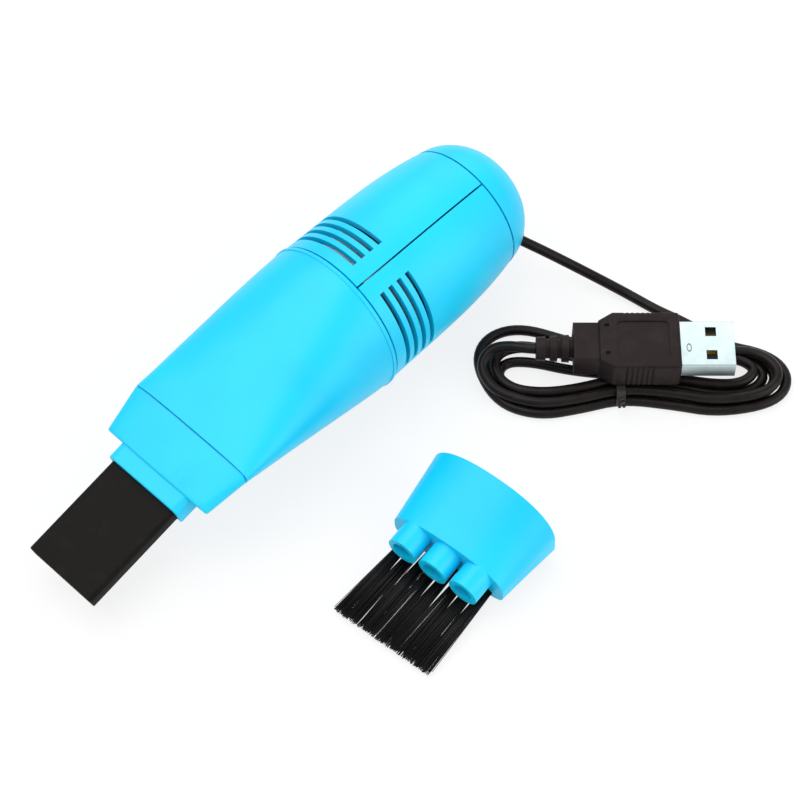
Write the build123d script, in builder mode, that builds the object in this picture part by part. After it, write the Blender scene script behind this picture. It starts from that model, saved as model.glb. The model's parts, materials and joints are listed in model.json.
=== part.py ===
from build123d import *

import os
from math import cos, pi, radians, sin, tan

os.makedirs("parts", exist_ok=True)

# A desktop mini vacuum cleaner, lying on a table with its brush head and its tied cord beside it.
# Lengths are in millimetres and angles in degrees. X runs along the vacuum from its nozzle to its
# tail, Z is up, and the origin is on the table under the middle of the vacuum and its brush head.

# Place of the vacuum on the table
nose_x = -39.87               # top of the nose cap's front rim
axis_y = 25.39                # centre line of the round body
seam_roll = 21.0              # the rear body lies rolled towards -Y by this much

# Housing, front to back
cap_length = 11.3             # nose cap
cup_length = 44.4             # dust cup
shell_length = 40.0           # rear shells
dome_length = 12.4            # tail cap beyond the shells
rim_half_width = 15.1         # flat front rim
rim_line = -1.65              # its widest line above the body's centre line
rim_rise = 1.8                # top and belly, from the widest line
rim_drop = 8.5
rim_slant = 24.0              # the front face leans back by this much towards its foot
rim_edge = 0.5
seam_half_width = 17.1        # where the nose cap meets the dust cup
seam_line = 2.15
seam_rise = 2.0
seam_drop = 12.5
step_radius = 18.85           # rear rim of the dust cup
step_land = 1.0               # round band in front of the step
step_proud = 0.2              # of that band
step_edge = 0.35
step_ledge = 0.35             # the shells start this far inside the cup's rim
shell_middle_drop = 0.3       # and then narrow by this much
shell_waist_drop = 1.0
shell_rear_drop = 2.5
shell_middle_back = 17.0      # how far behind the step those radii are
shell_waist_back = 30.0
flat_fullness = 2.8           # superellipse exponents of the flat top and of the keeled belly
belly_fullness = 1.6
cup_bulge = 0.06              # how much the cup's wedge bulges on its way to the round step
dome_along = 1.8              # exponents of the dome's profile
dome_across = 2.17
wall = 1.5
front_wall = 2.0
part_gap = 0.4                # open line between two housing pieces
fit = 0.2                     # clearance of pieces that pull apart
seat = 0.05                   # clearance of pieces that stay together

# Nozzle and the collar that holds it
nozzle_droop = 14.0           # the nozzle points down by this much
collar_rise = -3.75           # collar centre above the body's centre line, at the rim
collar_width = 21.6
collar_height = 6.6
collar_corner = 2.2
collar_wall = 1.1
collar_length = 3.0           # outside the rim
collar_depth = 6.0            # inside the rim
collar_ledge = 1.5            # stop for the nozzle at the inner end
collar_ear = 1.2
ear_height = 2.6
ear_low = -3.2                # its middle from the rim's top, down the slanted face
nozzle_length = 25.7          # beyond the collar
nozzle_wall = 0.9

# Spigot of the rear shells, and the filter that sits in its mouth
spigot_length = 5.0
spigot_wall = 2.2
spigot_seat = 1.2             # ring inside the dust cup that the spigot fits
spigot_bite = 0.25            # how far that ring goes into the cup's wall
filter_seat = 2.0             # depth of the filter's counterbore
filter_lip = 1.4              # wall left around the counterbore
filter_ring = 2.1
filter_rib = 1.2
cloth_height = 9.0
cloth_thickness = 0.8

# Vents
vent_count = 4
vent_pitch = 2.58
vent_width = 1.25
vent_back = 3.5               # first slot behind the step
vent_start = 13.4             # from the seam, each side
vent_end = 84.0

# Fan
shroud_back = 1.0             # behind the step
shroud_thickness = 1.5
shroud_eye = 7.0
fan_back = 4.0
fan_gap = 2.5                 # from the blades' tips to the shells
fan_blade_height = 7.5
fan_blades = 9
fan_blade = 0.9
fan_plate = 1.2
fan_hub = 3.0

# Motor
mount_back = 14.5             # bulkhead behind the step
mount_thickness = 2.5
mount_grip = 1.6
mount_grip_length = 8.0
mount_grip_arc = 80.0
can_radius = 10.05
can_flat = 7.55
can_length = 23.0
can_wall = 0.6
boss_radius = 3.0
boss_length = 1.5
bush_radius = 2.2
bush_length = 3.0
shaft_radius = 1.0
shaft_play = 0.03
magnet_thickness = 1.9
magnet_length = 15.0
magnet_arc = 84.0
armature_radius = 6.4
armature_length = 10.0
armature_back = 6.0           # behind the can's front
pole_width = 2.4
pole_shoe = 1.3
pole_shoe_arc = 84.0
winding_width = 5.0
winding_overhang = 1.5
commutator_radius = 2.6
commutator_length = 4.0
commutator_bars = 3
bell_length = 2.0
leaf_thickness = 0.25
leaf_play = 0.1
terminal_offset = 5.0
terminal_width = 2.2
terminal_thickness = 0.4
terminal_length = 4.0
capacitor_radius = 3.0
capacitor_thickness = 1.5
capacitor_back = 1.2
lead_radius = 0.25

# Switch, on the underside at the seam
switch_back = 28.5            # behind the step
switch_length = 8.6
switch_width = 3.7
switch_height = 3.6
switch_depth = 3.05           # from the shell's outside to the switch body
knob_length = 4.0
knob_width = 2.6
knob_proud = 0.35
knob_travel = 3.0
knob_flange = 0.45
knob_stem = 1.4
knob_ribs = 4
pin_length = 1.4
pin_width = 1.2
pin_thickness = 0.5
pin_pitch = 2.5
cradle_rib = 1.0

# Screws and pegs of the rear shells
screw_backs = (20.7, 36.3)    # behind the step
screw_edge = 2.3              # from the inside of the shells' rear rim
boss_outer = 2.9
screw_radius = 1.0
screw_reach = 7.0             # into the right shell
screw_seat = 6.0              # head seat in the left shell
head_radius = 1.9
head_height = 1.3
head_slot = 0.5
peg_radius = 1.2
peg_length = 3.0

# Tail cap and gland
cap_lip_length = 4.0
cap_lip_wall = 1.2
gland_back = 6.7              # behind the tail seam
gland_turn = 119.0            # round the body from the top, towards -Y
gland_tilt = 62.0             # between the cord and the body's centre line
gland_radius = 2.1
gland_proud = 0.5
gland_inside = 3.0
gland_flange = 0.8

# Cord
cord_diameter = 2.4
wire_diameter = 0.8
wire_apart = 1.0              # the two cores where they leave the cord
wire_end = 1.4                # straight run of each core behind the cord
wire_gap = 0.45               # between a wire and the motor's flat side
bell_bends = (                # bends of the supply wire, behind the end bell, up, to the left
    (1.2, -4.6, -7.2), (0.8, -8.6, -5.0),
)
can_bend = (-0.4, -2.6)       # beside the can, behind the end bell's seam, to the left
pin_bends = (                 # by the switch, behind its pin, up from the can's side, to the left
    (5.2, 0.0, -0.9), (2.35, -0.2, 0.0),
)
pin_run = 1.05                # straight end at a pin
terminal_bend = (0.1, 1.7)    # up, and out from the terminal's foot
switch_bends = (              # bends of the switch wire, behind the switch, up from the can, left
    (4.5, 0.0, 4.6), (8.5, -0.1, 4.8),
)
switch_run = 2.0              # its straight end at the pin
switch_rise = (1.8, 0.9, 4.2) # its first bend, behind the switch, up from the pin, to the left
seam_bend = (0.5, 5.6)        # beside the can, behind the end bell's seam, to the left
corner_bend = (1.6, -8.2, 7.0)    # behind the end bell, up, to the left
side_bends = ((-4.0, 9.0), (0.0, 8.0))    # beside the terminal: up, to the left
coil_x = 59.2                 # middle of the hank on the table
coil_y = -25.01
coil_turn = -46.05            # the hank's long direction, from X
coil_height = 5.0
coil_edge = 1.2               # rounding of the hank's outer shape
coil_outline = (
    (-36.1, 2.9), (-33.0, 10.5), (-25.4, 13.7), (-14.0, 10.5), (-3.0, 7.5), (10.0, 9.0),
    (22.0, 9.5), (31.5, 6.0), (34.7, -0.9), (31.5, -7.4), (18.9, -11.2), (8.0, -9.3),
    (-3.2, -8.5), (-12.0, -10.8), (-21.9, -12.2), (-31.0, -8.0),
)
coil_hole = (
    (-28.4, 1.8), (-24.0, 4.5), (-15.0, 2.5), (-7.9, -2.2), (-14.0, -3.6), (-20.4, -3.8),
    (-26.0, -2.0),
)
cord_run = 12.0               # first straight run, from inside the tail cap
cord_points = (               # then over the table to the hank
    (71.73, -1.47, 3.5), (74.63, -9.67, 1.4), (75.93, -17.77, 1.25), (78.53, -25.87, 1.25),
    (81.7, -33.01, 1.25),
)
lead_points = (               # from the plug's relief down to the hank, along the hank
    (-25.4, 1.2, 9.2), (-28.9, 1.0, 8.2), (-31.9, 0.2, 6.5), (-34.1, -1.2, 4.6),
)
tie_along = -3.2              # middle of the tie along the hank
tie_low = -8.4                # sides of the hank there
tie_high = 7.4
tie_thickness = 0.45
tie_width = 2.0

# Plug
plug_rest = 5.55              # underside of the plug's body above the table
plug_side = 1.2               # plug's centre line from the coil's
body_start = -8.4             # rear end of the moulded body along the coil
body_length = 18.3
body_width = 15.0
body_height = 7.6
body_corner = 0.8
shoulder_length = 3.3
neck_length = 5.5
neck_width = 10.6
neck_height = 6.6
relief_length = 8.3
relief_radius = 3.2
relief_tip_radius = 2.6
relief_groove = 1.0
relief_rings = 3
relief_ring_length = 1.6
panel_length = 11.6
panel_width = 9.9
panel_corner = 1.2
panel_depth = 0.25
notch_side = 1.0
notch_depth = 0.5
grip_count = 6
grip_pitch = 1.15
grip_width = 0.55
grip_depth = 0.4
usb_width = 12.0
usb_height = 4.5
usb_length = 12.1
usb_inside = 6.0
usb_wall = 0.3
usb_corner = 0.5
usb_hole = 2.4
usb_hole_pitch = 6.2
usb_hole_back = 5.2           # hole centre from the mouth
tongue_width = 10.6
tongue_height = 1.9
panel_along = 1.6             # middle of the panel along the hank
notch_along = -6.4            # two small notches behind the panel
notch_pitch = 7.4
grip_along = 0.6
tongue_short = 1.0            # tongue ends this far inside the mouth
contact_pitches = (-3.5, -1.0, 1.0, 3.5)
contact_width = 1.0
contact_height = 0.15
contact_length = 8.0

# Brush head
brush_x = 9.8                 # centre of its wide end
brush_y = -28.01
brush_yaw = 6.0
brush_pitch = 4.0
brush_lift = 0.03             # clear of the table at the rim of its wide mouth
brush_length = 16.5
brush_wide_half = 16.2        # its wide mouth: half width, top and base from the widest line
brush_wide_rise = 11.3
brush_wide_drop = 8.5
brush_narrow_half = 14.6      # its narrow face
brush_narrow_rise = 6.5
brush_narrow_drop = 5.2
brush_droop = 1.0             # the widest line falls this far below the centre line
arch_fullness = 2.2           # superellipse exponents of its arched top and its flat base
base_fullness = 5.0
brush_wall = 1.6
brush_face = 4.0
socket_plate = 3.0
tube_count = 3
tube_pitch = 8.1
tube_radius = 3.6
tube_bore = 2.35
tube_length = 5.6
tube_offset = 1.0             # above the brush head's centre line
tuft_count = 8
tuft_pitch = 3.0
tuft_radius = 1.05
tuft_tip_width = 2.9
tuft_tip_height = 2.0
tuft_length = 23.0
tuft_depth = 3.0
tuft_offset = -4.5
tuft_fan = 1.05               # how much wider the row is at its tips
tuft_lean = -0.5              # how far the tips lean to the brush head's right

socket_play = 0.15            # of the slot that fits over the nozzle's collar
tuft_hole = 1.15

# Radii that follow from each other
wedge_radius = step_radius - step_proud
shell_front_radius = step_radius - step_ledge
shell_middle_radius = shell_front_radius - shell_middle_drop
shell_waist_radius = shell_front_radius - shell_waist_drop
shell_rear_radius = shell_front_radius - shell_rear_drop
spigot_radius = step_radius - wall + spigot_bite - spigot_seat - fit
fan_radius = shell_front_radius - wall - fan_gap
screw_offset = shell_rear_radius - wall - screw_edge

# Stations along X
axis_z = step_radius          # the body rests on its step
seam_x = nose_x + cap_length
step_x = seam_x + cup_length
tail_x = step_x + shell_length
body_axis = Axis((0, axis_y, axis_z), (1, 0, 0))
roll = radians(seam_roll)
left_dir = (0, cos(roll), sin(roll))


def vacuum_point(x, up, left):
    """A point given along the vacuum, towards its top seam and to its left."""
    return (
        x,
        axis_y - up * sin(roll) + left * cos(roll),
        axis_z + up * cos(roll) + left * sin(roll),
    )


def across(x):
    """Plane across the rear body: its x is to the left and its y towards the top seam."""
    return Plane(origin=(x, axis_y, axis_z), x_dir=left_dir, z_dir=(1, 0, 0))


def sideways(x, up):
    """Plane along the seam that faces left: its x runs aft and its y away from the top seam."""
    return Plane(origin=vacuum_point(x, up, 0), x_dir=(1, 0, 0), z_dir=left_dir)


def radial(angle):
    """Plane through the centre line, turned from the top towards -Y: its x is X, its y the radius."""
    turn = radians(angle)
    origin = (0, axis_y, axis_z)
    return Plane(origin=origin, x_dir=(1, 0, 0), z_dir=(0, -cos(turn), -sin(turn)))


def arch_points(half_width, rise, drop, top_fullness, base_fullness, count=32):
    """Points round a superellipse with its own height and exponent above and below the widest line."""
    points = []
    for step in range(count):
        turn = 2 * pi * step / count
        c, s = cos(turn), sin(turn)
        fullness = top_fullness if s >= 0 else base_fullness
        height = rise if s >= 0 else -drop
        x = half_width * abs(c) ** (2 / fullness) * (1 if c >= 0 else -1)
        points.append((x, height * abs(s) ** (2 / fullness)))
    return points


def arch(plane, half_width, rise, drop, top_fullness, base_fullness, line=0.0):
    """Arch-shaped face on a plane, with its widest line this far above the plane's origin."""
    outline = arch_points(half_width, rise, drop, top_fullness, base_fullness)
    with BuildSketch(plane) as section:
        with BuildLine():
            Spline(*[(x, y + line) for x, y in outline], periodic=True)
        make_face()
    return section.sketch


def between(start, end, share):
    """Value this share of the way from one to another."""
    return start + (end - start) * share


# ---------------------------------------------------------------- front housing

def front_section(back, inset=0.0):
    """Face across the front housing, this far behind the nose rim, shrunk by a wall."""
    if back <= cap_length:
        share = back / cap_length
        half_width = between(rim_half_width, seam_half_width, share)
        line = between(rim_line, seam_line, share)
        rise = between(rim_rise, seam_rise, share)
        drop = between(rim_drop, seam_drop, share)
        top_fullness, base_fullness = flat_fullness, belly_fullness
    else:
        share = (back - cap_length) / wedge_length
        ease = (1 + cup_bulge) * share - cup_bulge * share ** ((1 + cup_bulge) / cup_bulge)
        half_width = between(seam_half_width, wedge_radius, ease)
        line = between(seam_line, 0, ease)
        rise = between(seam_rise, wedge_radius, ease)
        drop = between(seam_drop, wedge_radius, ease)
        top_fullness = between(flat_fullness, 2, share)
        base_fullness = between(belly_fullness, 2, share)
    plane = Plane(origin=(nose_x + back, axis_y, axis_z), x_dir=(0, 1, 0), z_dir=(1, 0, 0))
    return arch(plane, half_width - inset, rise - inset, drop - inset, top_fullness, base_fullness, line)


wedge_length = cup_length - part_gap - step_land
cap_stations = [-wall, cap_length]
cup_stations = [cap_length + wedge_length * quarter / 4 for quarter in range(5)]

nozzle_axis = (-cos(radians(nozzle_droop)), 0, -sin(radians(nozzle_droop)))
nozzle_plane = Plane(
    origin=(nose_x, axis_y, axis_z + collar_rise), x_dir=(0, -1, 0), z_dir=nozzle_axis
)
rim_plane = Plane(
    origin=(nose_x, axis_y, axis_z + rim_line + rim_rise), x_dir=(0, -1, 0),
    z_dir=(-cos(radians(rim_slant)), 0, -sin(radians(rim_slant))),
)


def front_solid(stations, inset=0.0):
    """Solid through the front housing's sections at these stations, shrunk by a wall."""
    with BuildPart() as solid:
        loft(sections=[front_section(back, inset) for back in stations])
    return solid.part


lip_stations = [cap_length - wall, cap_length]


with BuildPart() as nose_hollow:
    add(front_solid(cap_stations, wall))
    split(bisect_by=rim_plane.offset(-front_wall), keep=Keep.BOTTOM)

with BuildPart() as nose_cap:
    add(front_solid(cap_stations))
    split(bisect_by=Plane(origin=(seam_x - part_gap, 0, 0), z_dir=(1, 0, 0)), keep=Keep.BOTTOM)
    split(bisect_by=rim_plane, keep=Keep.BOTTOM)
    fillet(faces().sort_by(Axis((0, 0, 0), rim_plane.z_dir))[-1].edges(), rim_edge)
    add(front_solid(lip_stations, wall / 2))
    extrude(front_section(cap_length, wall / 2), amount=wall)
    add(nose_hollow.part, mode=Mode.SUBTRACT)
    extrude(front_section(cap_length, wall), amount=wall, mode=Mode.SUBTRACT)
    with BuildSketch(nozzle_plane.offset(-collar_depth - seat)):
        RectangleRounded(collar_width + 2 * seat, collar_height + 2 * seat, collar_corner)
    extrude(amount=collar_depth + collar_length, mode=Mode.SUBTRACT)
nose_cap.part.label = "nose_cap"
export_step(nose_cap.part, "parts/nose_cap.step")

with BuildPart() as dust_cup:
    with BuildSketch(across(step_x - part_gap)):
        Circle(step_radius)
    extrude(amount=-step_land)
    fillet(faces().sort_by(Axis.X)[-1].edges(), step_edge)
    add(front_solid(cup_stations))
    add(front_solid(cup_stations, wall), mode=Mode.SUBTRACT)
    with BuildSketch(across(step_x - part_gap)):
        Circle(step_radius - wall)
    extrude(amount=-step_land, mode=Mode.SUBTRACT)
    with BuildSketch(across(step_x - part_gap)):
        Circle(spigot_radius + fit + spigot_seat)
        Circle(spigot_radius + fit, mode=Mode.SUBTRACT)
    extrude(amount=-spigot_length)
    with BuildSketch(across(step_x - part_gap)):
        Circle(spigot_radius + fit)
    extrude(amount=-spigot_length - fit, mode=Mode.SUBTRACT)
    extrude(front_section(cap_length, wall / 2 - seat), amount=wall + seat, mode=Mode.SUBTRACT)
dust_cup.part.label = "dust_cup"
export_step(dust_cup.part, "parts/dust_cup.step")

bore_width = collar_width - 2 * collar_wall
bore_height = collar_height - 2 * collar_wall
bore_corner = collar_corner - collar_wall

with BuildPart() as nozzle_collar:
    with BuildSketch(nozzle_plane.offset(-collar_depth)):
        RectangleRounded(collar_width, collar_height, collar_corner)
    extrude(amount=collar_depth + collar_length)
    fillet(faces().sort_by(Axis.X)[0].edges(), 0.3)
    with BuildSketch(rim_plane.offset(-front_wall - seat)):
        with Locations((0, ear_low)):
            Rectangle(collar_width + 2 * collar_ear, ear_height)
    extrude(amount=-collar_ledge)
    with BuildSketch(nozzle_plane.offset(-collar_depth + collar_ledge)):
        RectangleRounded(bore_width, bore_height, bore_corner)
    extrude(amount=collar_depth + collar_length, mode=Mode.SUBTRACT)
    with BuildSketch(nozzle_plane.offset(-collar_depth - collar_ledge)):
        RectangleRounded(bore_width - 2 * collar_wall, bore_height - 2 * collar_wall, 1.0)
    extrude(amount=3 * collar_ledge, mode=Mode.SUBTRACT)
nozzle_collar.part.label = "nozzle_collar"
export_step(nozzle_collar.part, "parts/nozzle_collar.step")

nozzle_width = bore_width - 2 * fit / 2
nozzle_height = bore_height - 2 * fit / 2
nozzle_insert = collar_length + collar_depth - collar_ledge

with BuildPart() as crevice_nozzle:
    with BuildSketch(nozzle_plane.offset(collar_length - nozzle_insert)):
        RectangleRounded(nozzle_width, nozzle_height, bore_corner)
        RectangleRounded(nozzle_width - 2 * nozzle_wall, nozzle_height - 2 * nozzle_wall,
                         bore_corner - nozzle_wall / 2, mode=Mode.SUBTRACT)
    extrude(amount=nozzle_insert + nozzle_length)
crevice_nozzle.part.label = "crevice_nozzle"
export_step(crevice_nozzle.part, "parts/crevice_nozzle.step")


# ---------------------------------------------------------------- rear shells

def shell_line(inset):
    """Profile points of the rear shells along X and out from the centre line."""
    return [
        (step_x, shell_front_radius - inset),
        (step_x + shell_middle_back, shell_middle_radius - inset),
        (step_x + shell_waist_back, shell_waist_radius - inset),
        (tail_x, shell_rear_radius - inset),
    ]


def turned_shell(inset, from_x):
    """Solid of revolution inside the shells' profile, with a straight spigot in front."""
    outer = shell_line(inset)
    with BuildPart() as solid:
        with BuildSketch(radial(0)):
            with BuildLine():
                Polyline(outer[-1], (tail_x, 0), (from_x, 0), (from_x, spigot_radius - inset),
                         (step_x, spigot_radius - inset), outer[0])
                Spline(*outer)
            make_face()
        revolve(axis=body_axis)
    return solid.part


spigot_x = step_x - spigot_length
shell_solid = turned_shell(0, spigot_x)
shell_core = turned_shell(wall / 2, spigot_x)

with BuildPart() as vent_cutter:
    for start in (vent_start, -vent_end):
        with BuildSketch(radial(seam_roll + start)):
            with Locations(*[(step_x + vent_back + vent_pitch * slot, shell_front_radius)
                             for slot in range(vent_count)]):
                Rectangle(vent_width, 4 * wall)
        revolve(axis=body_axis, revolution_arc=vent_end - vent_start)

shell_surface_at_switch = (shell_middle_radius + shell_waist_radius) / 2 - 0.1
switch_x = step_x + switch_back
switch_top = shell_surface_at_switch - switch_depth
switch_bottom = switch_top - switch_height
window_length = knob_length + knob_travel + 2 * fit
window_width = knob_width + 2 * fit

with BuildPart() as boss_stock:
    for back in screw_backs:
        for side in (-1, 1):
            with BuildSketch(sideways(step_x + back, side * screw_offset)):
                Circle(boss_outer)
            extrude(amount=shell_front_radius, both=True)
    for end in (-1, 1):
        rib_x = switch_x + end * (switch_length + cradle_rib) / 2
        with BuildSketch(sideways(rib_x, -(shell_surface_at_switch + switch_bottom) / 2)):
            Rectangle(cradle_rib, shell_surface_at_switch - switch_bottom)
        extrude(amount=switch_width, both=True)
    add(shell_core, mode=Mode.INTERSECT)

with BuildPart() as rear_housing:
    add(shell_solid)
    with BuildSketch(radial(0)):
        with BuildLine():
            web_back = step_x + shroud_back
            inner = [(web_back, shell_front_radius - wall), *shell_line(wall)[1:]]
            Polyline(inner[-1], (tail_x, 0), (spigot_x, 0), (spigot_x, spigot_radius - spigot_wall),
                     (web_back, spigot_radius - spigot_wall), inner[0])
            Spline(*inner)
        make_face()
    revolve(axis=body_axis, mode=Mode.SUBTRACT)
    with BuildSketch(across(spigot_x)):
        Circle(spigot_radius - filter_lip)
    extrude(amount=filter_seat, mode=Mode.SUBTRACT)
    add(vent_cutter.part, mode=Mode.SUBTRACT)
    add(boss_stock.part)
    with BuildSketch(sideways(switch_x, -shell_surface_at_switch)):
        Rectangle(window_length, 4 * wall)
    extrude(amount=window_width / 2, both=True, mode=Mode.SUBTRACT)

seam_half_gap = part_gap / 2
left_cut = Plane(origin=vacuum_point(0, 0, seam_half_gap), x_dir=(1, 0, 0), z_dir=left_dir)
right_cut = Plane(origin=vacuum_point(0, 0, -seam_half_gap), x_dir=(1, 0, 0), z_dir=left_dir)
low_bosses = [sideways(step_x + back, -screw_offset) for back in screw_backs]
top_bosses = [sideways(step_x + back, screw_offset) for back in screw_backs]

with BuildPart() as rear_shell_left:
    add(rear_housing.part)
    split(bisect_by=left_cut, keep=Keep.TOP)
    for plane in low_bosses:
        with BuildSketch(plane):
            Circle(screw_radius + fit)
        extrude(amount=step_radius, mode=Mode.SUBTRACT)
        with BuildSketch(plane.offset(screw_seat)):
            Circle(head_radius + fit)
        extrude(amount=step_radius, mode=Mode.SUBTRACT)
    for plane in top_bosses:
        with BuildSketch(plane.offset(-peg_length)):
            Circle(peg_radius)
        extrude(amount=2 * peg_length)
rear_shell_left.part.label = "rear_shell_left"
export_step(rear_shell_left.part, "parts/rear_shell_left.step")

with BuildPart() as rear_shell_right:
    add(rear_housing.part)
    split(bisect_by=right_cut, keep=Keep.BOTTOM)
    for plane in low_bosses:
        with BuildSketch(plane):
            Circle(screw_radius + seat)
        extrude(amount=-screw_reach - seat, mode=Mode.SUBTRACT)
    for plane in top_bosses:
        with BuildSketch(plane):
            Circle(peg_radius + seat)
        extrude(amount=-peg_length - fit, mode=Mode.SUBTRACT)
rear_shell_right.part.label = "rear_shell_right"
export_step(rear_shell_right.part, "parts/rear_shell_right.step")

with BuildPart() as shell_screws:
    for plane in low_bosses:
        with BuildSketch(plane.offset(-screw_reach)):
            Circle(screw_radius)
        extrude(amount=screw_reach + screw_seat)
        with BuildSketch(plane.offset(screw_seat)):
            Circle(head_radius)
        extrude(amount=head_height)
        with BuildSketch(plane.offset(screw_seat + head_height)):
            Rectangle(2 * head_radius, head_slot)
            Rectangle(head_slot, 2 * head_radius)
        extrude(amount=-head_height / 2, mode=Mode.SUBTRACT)
shell_screws.part.label = "shell_screws"
export_step(shell_screws.part, "parts/shell_screws.step")


# ---------------------------------------------------------------- tail cap

def dome_radius(back, inset=0.0):
    """Radius of the tail cap this far behind the tail seam."""
    share = back / (dome_length - inset)
    return (shell_rear_radius - inset) * (1 - share ** dome_along) ** (1 / dome_across)


def dome_solid(inset, start):
    """Solid dome that starts this far behind the tail seam."""
    length = dome_length - inset
    points = [(tail_x + length * share, dome_radius(length * share, inset))
              for share in (0.3, 0.55, 0.75, 0.9, 1.0)]
    points.insert(0, (tail_x + start, dome_radius(start, inset)))
    rear_slope = (shell_rear_radius - shell_waist_radius) / (shell_length - shell_waist_back)
    with BuildPart() as solid:
        with BuildSketch(radial(0)):
            with BuildLine():
                Spline(*points, tangents=[(1, rear_slope), (0, -1)])
                Polyline(points[-1], (tail_x + start, 0), points[0])
            make_face()
        revolve(axis=body_axis)
    return solid.part


gland_dir_out = (-sin(radians(gland_turn)), cos(radians(gland_turn)))
gland_distance = dome_radius(gland_back)
gland_axis = (
    cos(radians(gland_tilt)),
    sin(radians(gland_tilt)) * gland_dir_out[0],
    sin(radians(gland_tilt)) * gland_dir_out[1],
)
gland_plane = Plane(
    origin=(tail_x + gland_back, axis_y + gland_distance * gland_dir_out[0],
            axis_z + gland_distance * gland_dir_out[1]),
    x_dir=(0, -gland_dir_out[1], gland_dir_out[0]),
    z_dir=gland_axis,
)
lip_radius = shell_rear_radius - wall - seat

with BuildPart() as tail_cap:
    add(dome_solid(0, part_gap))
    add(dome_solid(wall, 0), mode=Mode.SUBTRACT)
    with BuildSketch(across(tail_x - cap_lip_length)):
        Circle(lip_radius)
        Circle(lip_radius - cap_lip_wall, mode=Mode.SUBTRACT)
    extrude(amount=cap_lip_length + wall)
    for side in (-1, 1):
        with BuildSketch(sideways(step_x + screw_backs[-1], side * screw_offset)):
            Circle(boss_outer + fit)
        extrude(amount=lip_radius, both=True, mode=Mode.SUBTRACT)
    with BuildSketch(gland_plane.offset(-gland_inside)):
        Circle(gland_radius + seat)
    extrude(amount=2 * gland_inside, mode=Mode.SUBTRACT)
tail_cap.part.label = "tail_cap"
export_step(tail_cap.part, "parts/tail_cap.step")

with BuildPart() as cord_gland:
    with BuildSketch(gland_plane.offset(-gland_inside)):
        Circle(gland_radius)
    extrude(amount=gland_inside + gland_proud, taper=2)
    with BuildSketch(gland_plane.offset(-gland_inside - gland_flange)):
        Circle(gland_radius + gland_flange)
    extrude(amount=gland_flange)
    with BuildSketch(gland_plane.offset(-gland_inside - gland_flange)):
        Circle(cord_diameter / 2)
    extrude(amount=gland_inside + gland_flange + gland_proud, mode=Mode.SUBTRACT)
    fillet(faces().sort_by(Axis((0, 0, 0), gland_axis))[-1].edges(), 0.3)
cord_gland.part.label = "cord_gland"
export_step(cord_gland.part, "parts/cord_gland.step")


# ---------------------------------------------------------------- filter, fan and motor

seat_radius = spigot_radius - filter_lip - seat

with BuildPart() as filter_frame:
    with BuildSketch(across(spigot_x)):
        Circle(seat_radius)
        Circle(seat_radius - filter_ring, mode=Mode.SUBTRACT)
        Rectangle(2 * seat_radius - filter_ring, filter_rib)
        Rectangle(filter_rib, 2 * seat_radius - filter_ring)
    extrude(amount=filter_seat - seat)
filter_frame.part.label = "filter_frame"
export_step(filter_frame.part, "parts/filter_frame.step")


def cloth_profile(inset):
    """Profile points of the filter's dome, forward of the spigot's mouth."""
    radius = seat_radius - filter_ring / 2 - inset
    height = cloth_height - inset
    return [(spigot_x - height * sin(pi / 2 * share), radius * cos(pi / 2 * share))
            for share in (0, 0.35, 0.7, 1)]


with BuildPart() as filter_cloth:
    with BuildSketch(radial(0)):
        with BuildLine():
            outer_cloth = cloth_profile(0)
            inner_cloth = cloth_profile(cloth_thickness)
            Spline(*outer_cloth, tangents=[(-1, 0), (0, -1)])
            Line(outer_cloth[-1], inner_cloth[-1])
            Spline(*inner_cloth, tangents=[(-1, 0), (0, -1)])
            Line(inner_cloth[0], outer_cloth[0])
        make_face()
    revolve(axis=body_axis)
filter_cloth.part.label = "filter_cloth"
export_step(filter_cloth.part, "parts/filter_cloth.step")

shroud_x = step_x + shroud_back
shroud_radius = shell_front_radius - wall - 2 * seat

with BuildPart() as fan_shroud:
    with BuildSketch(across(shroud_x)):
        Circle(shroud_radius)
        Circle(shroud_eye, mode=Mode.SUBTRACT)
    extrude(amount=shroud_thickness)
    with BuildSketch(across(shroud_x)):
        Circle(shroud_eye + shroud_thickness)
        Circle(shroud_eye, mode=Mode.SUBTRACT)
    extrude(amount=-shroud_thickness)
fan_shroud.part.label = "fan_shroud"
export_step(fan_shroud.part, "parts/fan_shroud.step")

fan_x = step_x + fan_back
fan_plate_x = fan_x + fan_blade_height
mount_x = step_x + mount_back
can_x = mount_x + mount_thickness
bell_x = can_x + can_length
bell_end = bell_x + bell_length

with BuildPart() as impeller:
    with BuildSketch(across(fan_plate_x)):
        Circle(fan_radius)
    extrude(amount=fan_plate)
    with BuildSketch(across(fan_x)):
        with PolarLocations(0, fan_blades):
            with BuildLine(mode=Mode.PRIVATE) as sweep_back:
                ThreePointArc((fan_hub - 0.3, 0), (fan_radius / 2, 2.2), (fan_radius - 0.6, 0))
            trace(sweep_back.line, fan_blade)
        Circle(fan_hub)
    extrude(amount=fan_blade_height)
    with BuildSketch(across(fan_x)):
        Circle(shaft_radius)
    extrude(amount=fan_blade_height + fan_plate, mode=Mode.SUBTRACT)
impeller.part.label = "impeller"
export_step(impeller.part, "parts/impeller.step")

with BuildPart() as motor_shaft:
    with BuildSketch(across(fan_x)):
        Circle(shaft_radius)
    extrude(amount=bell_end - fan_x - 0.5)
    chamfer(edges().filter_by(GeomType.CIRCLE), 0.2)
motor_shaft.part.label = "motor_shaft"
export_step(motor_shaft.part, "parts/motor_shaft.step")

mount_radius = shell_middle_radius - wall - seat

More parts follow.
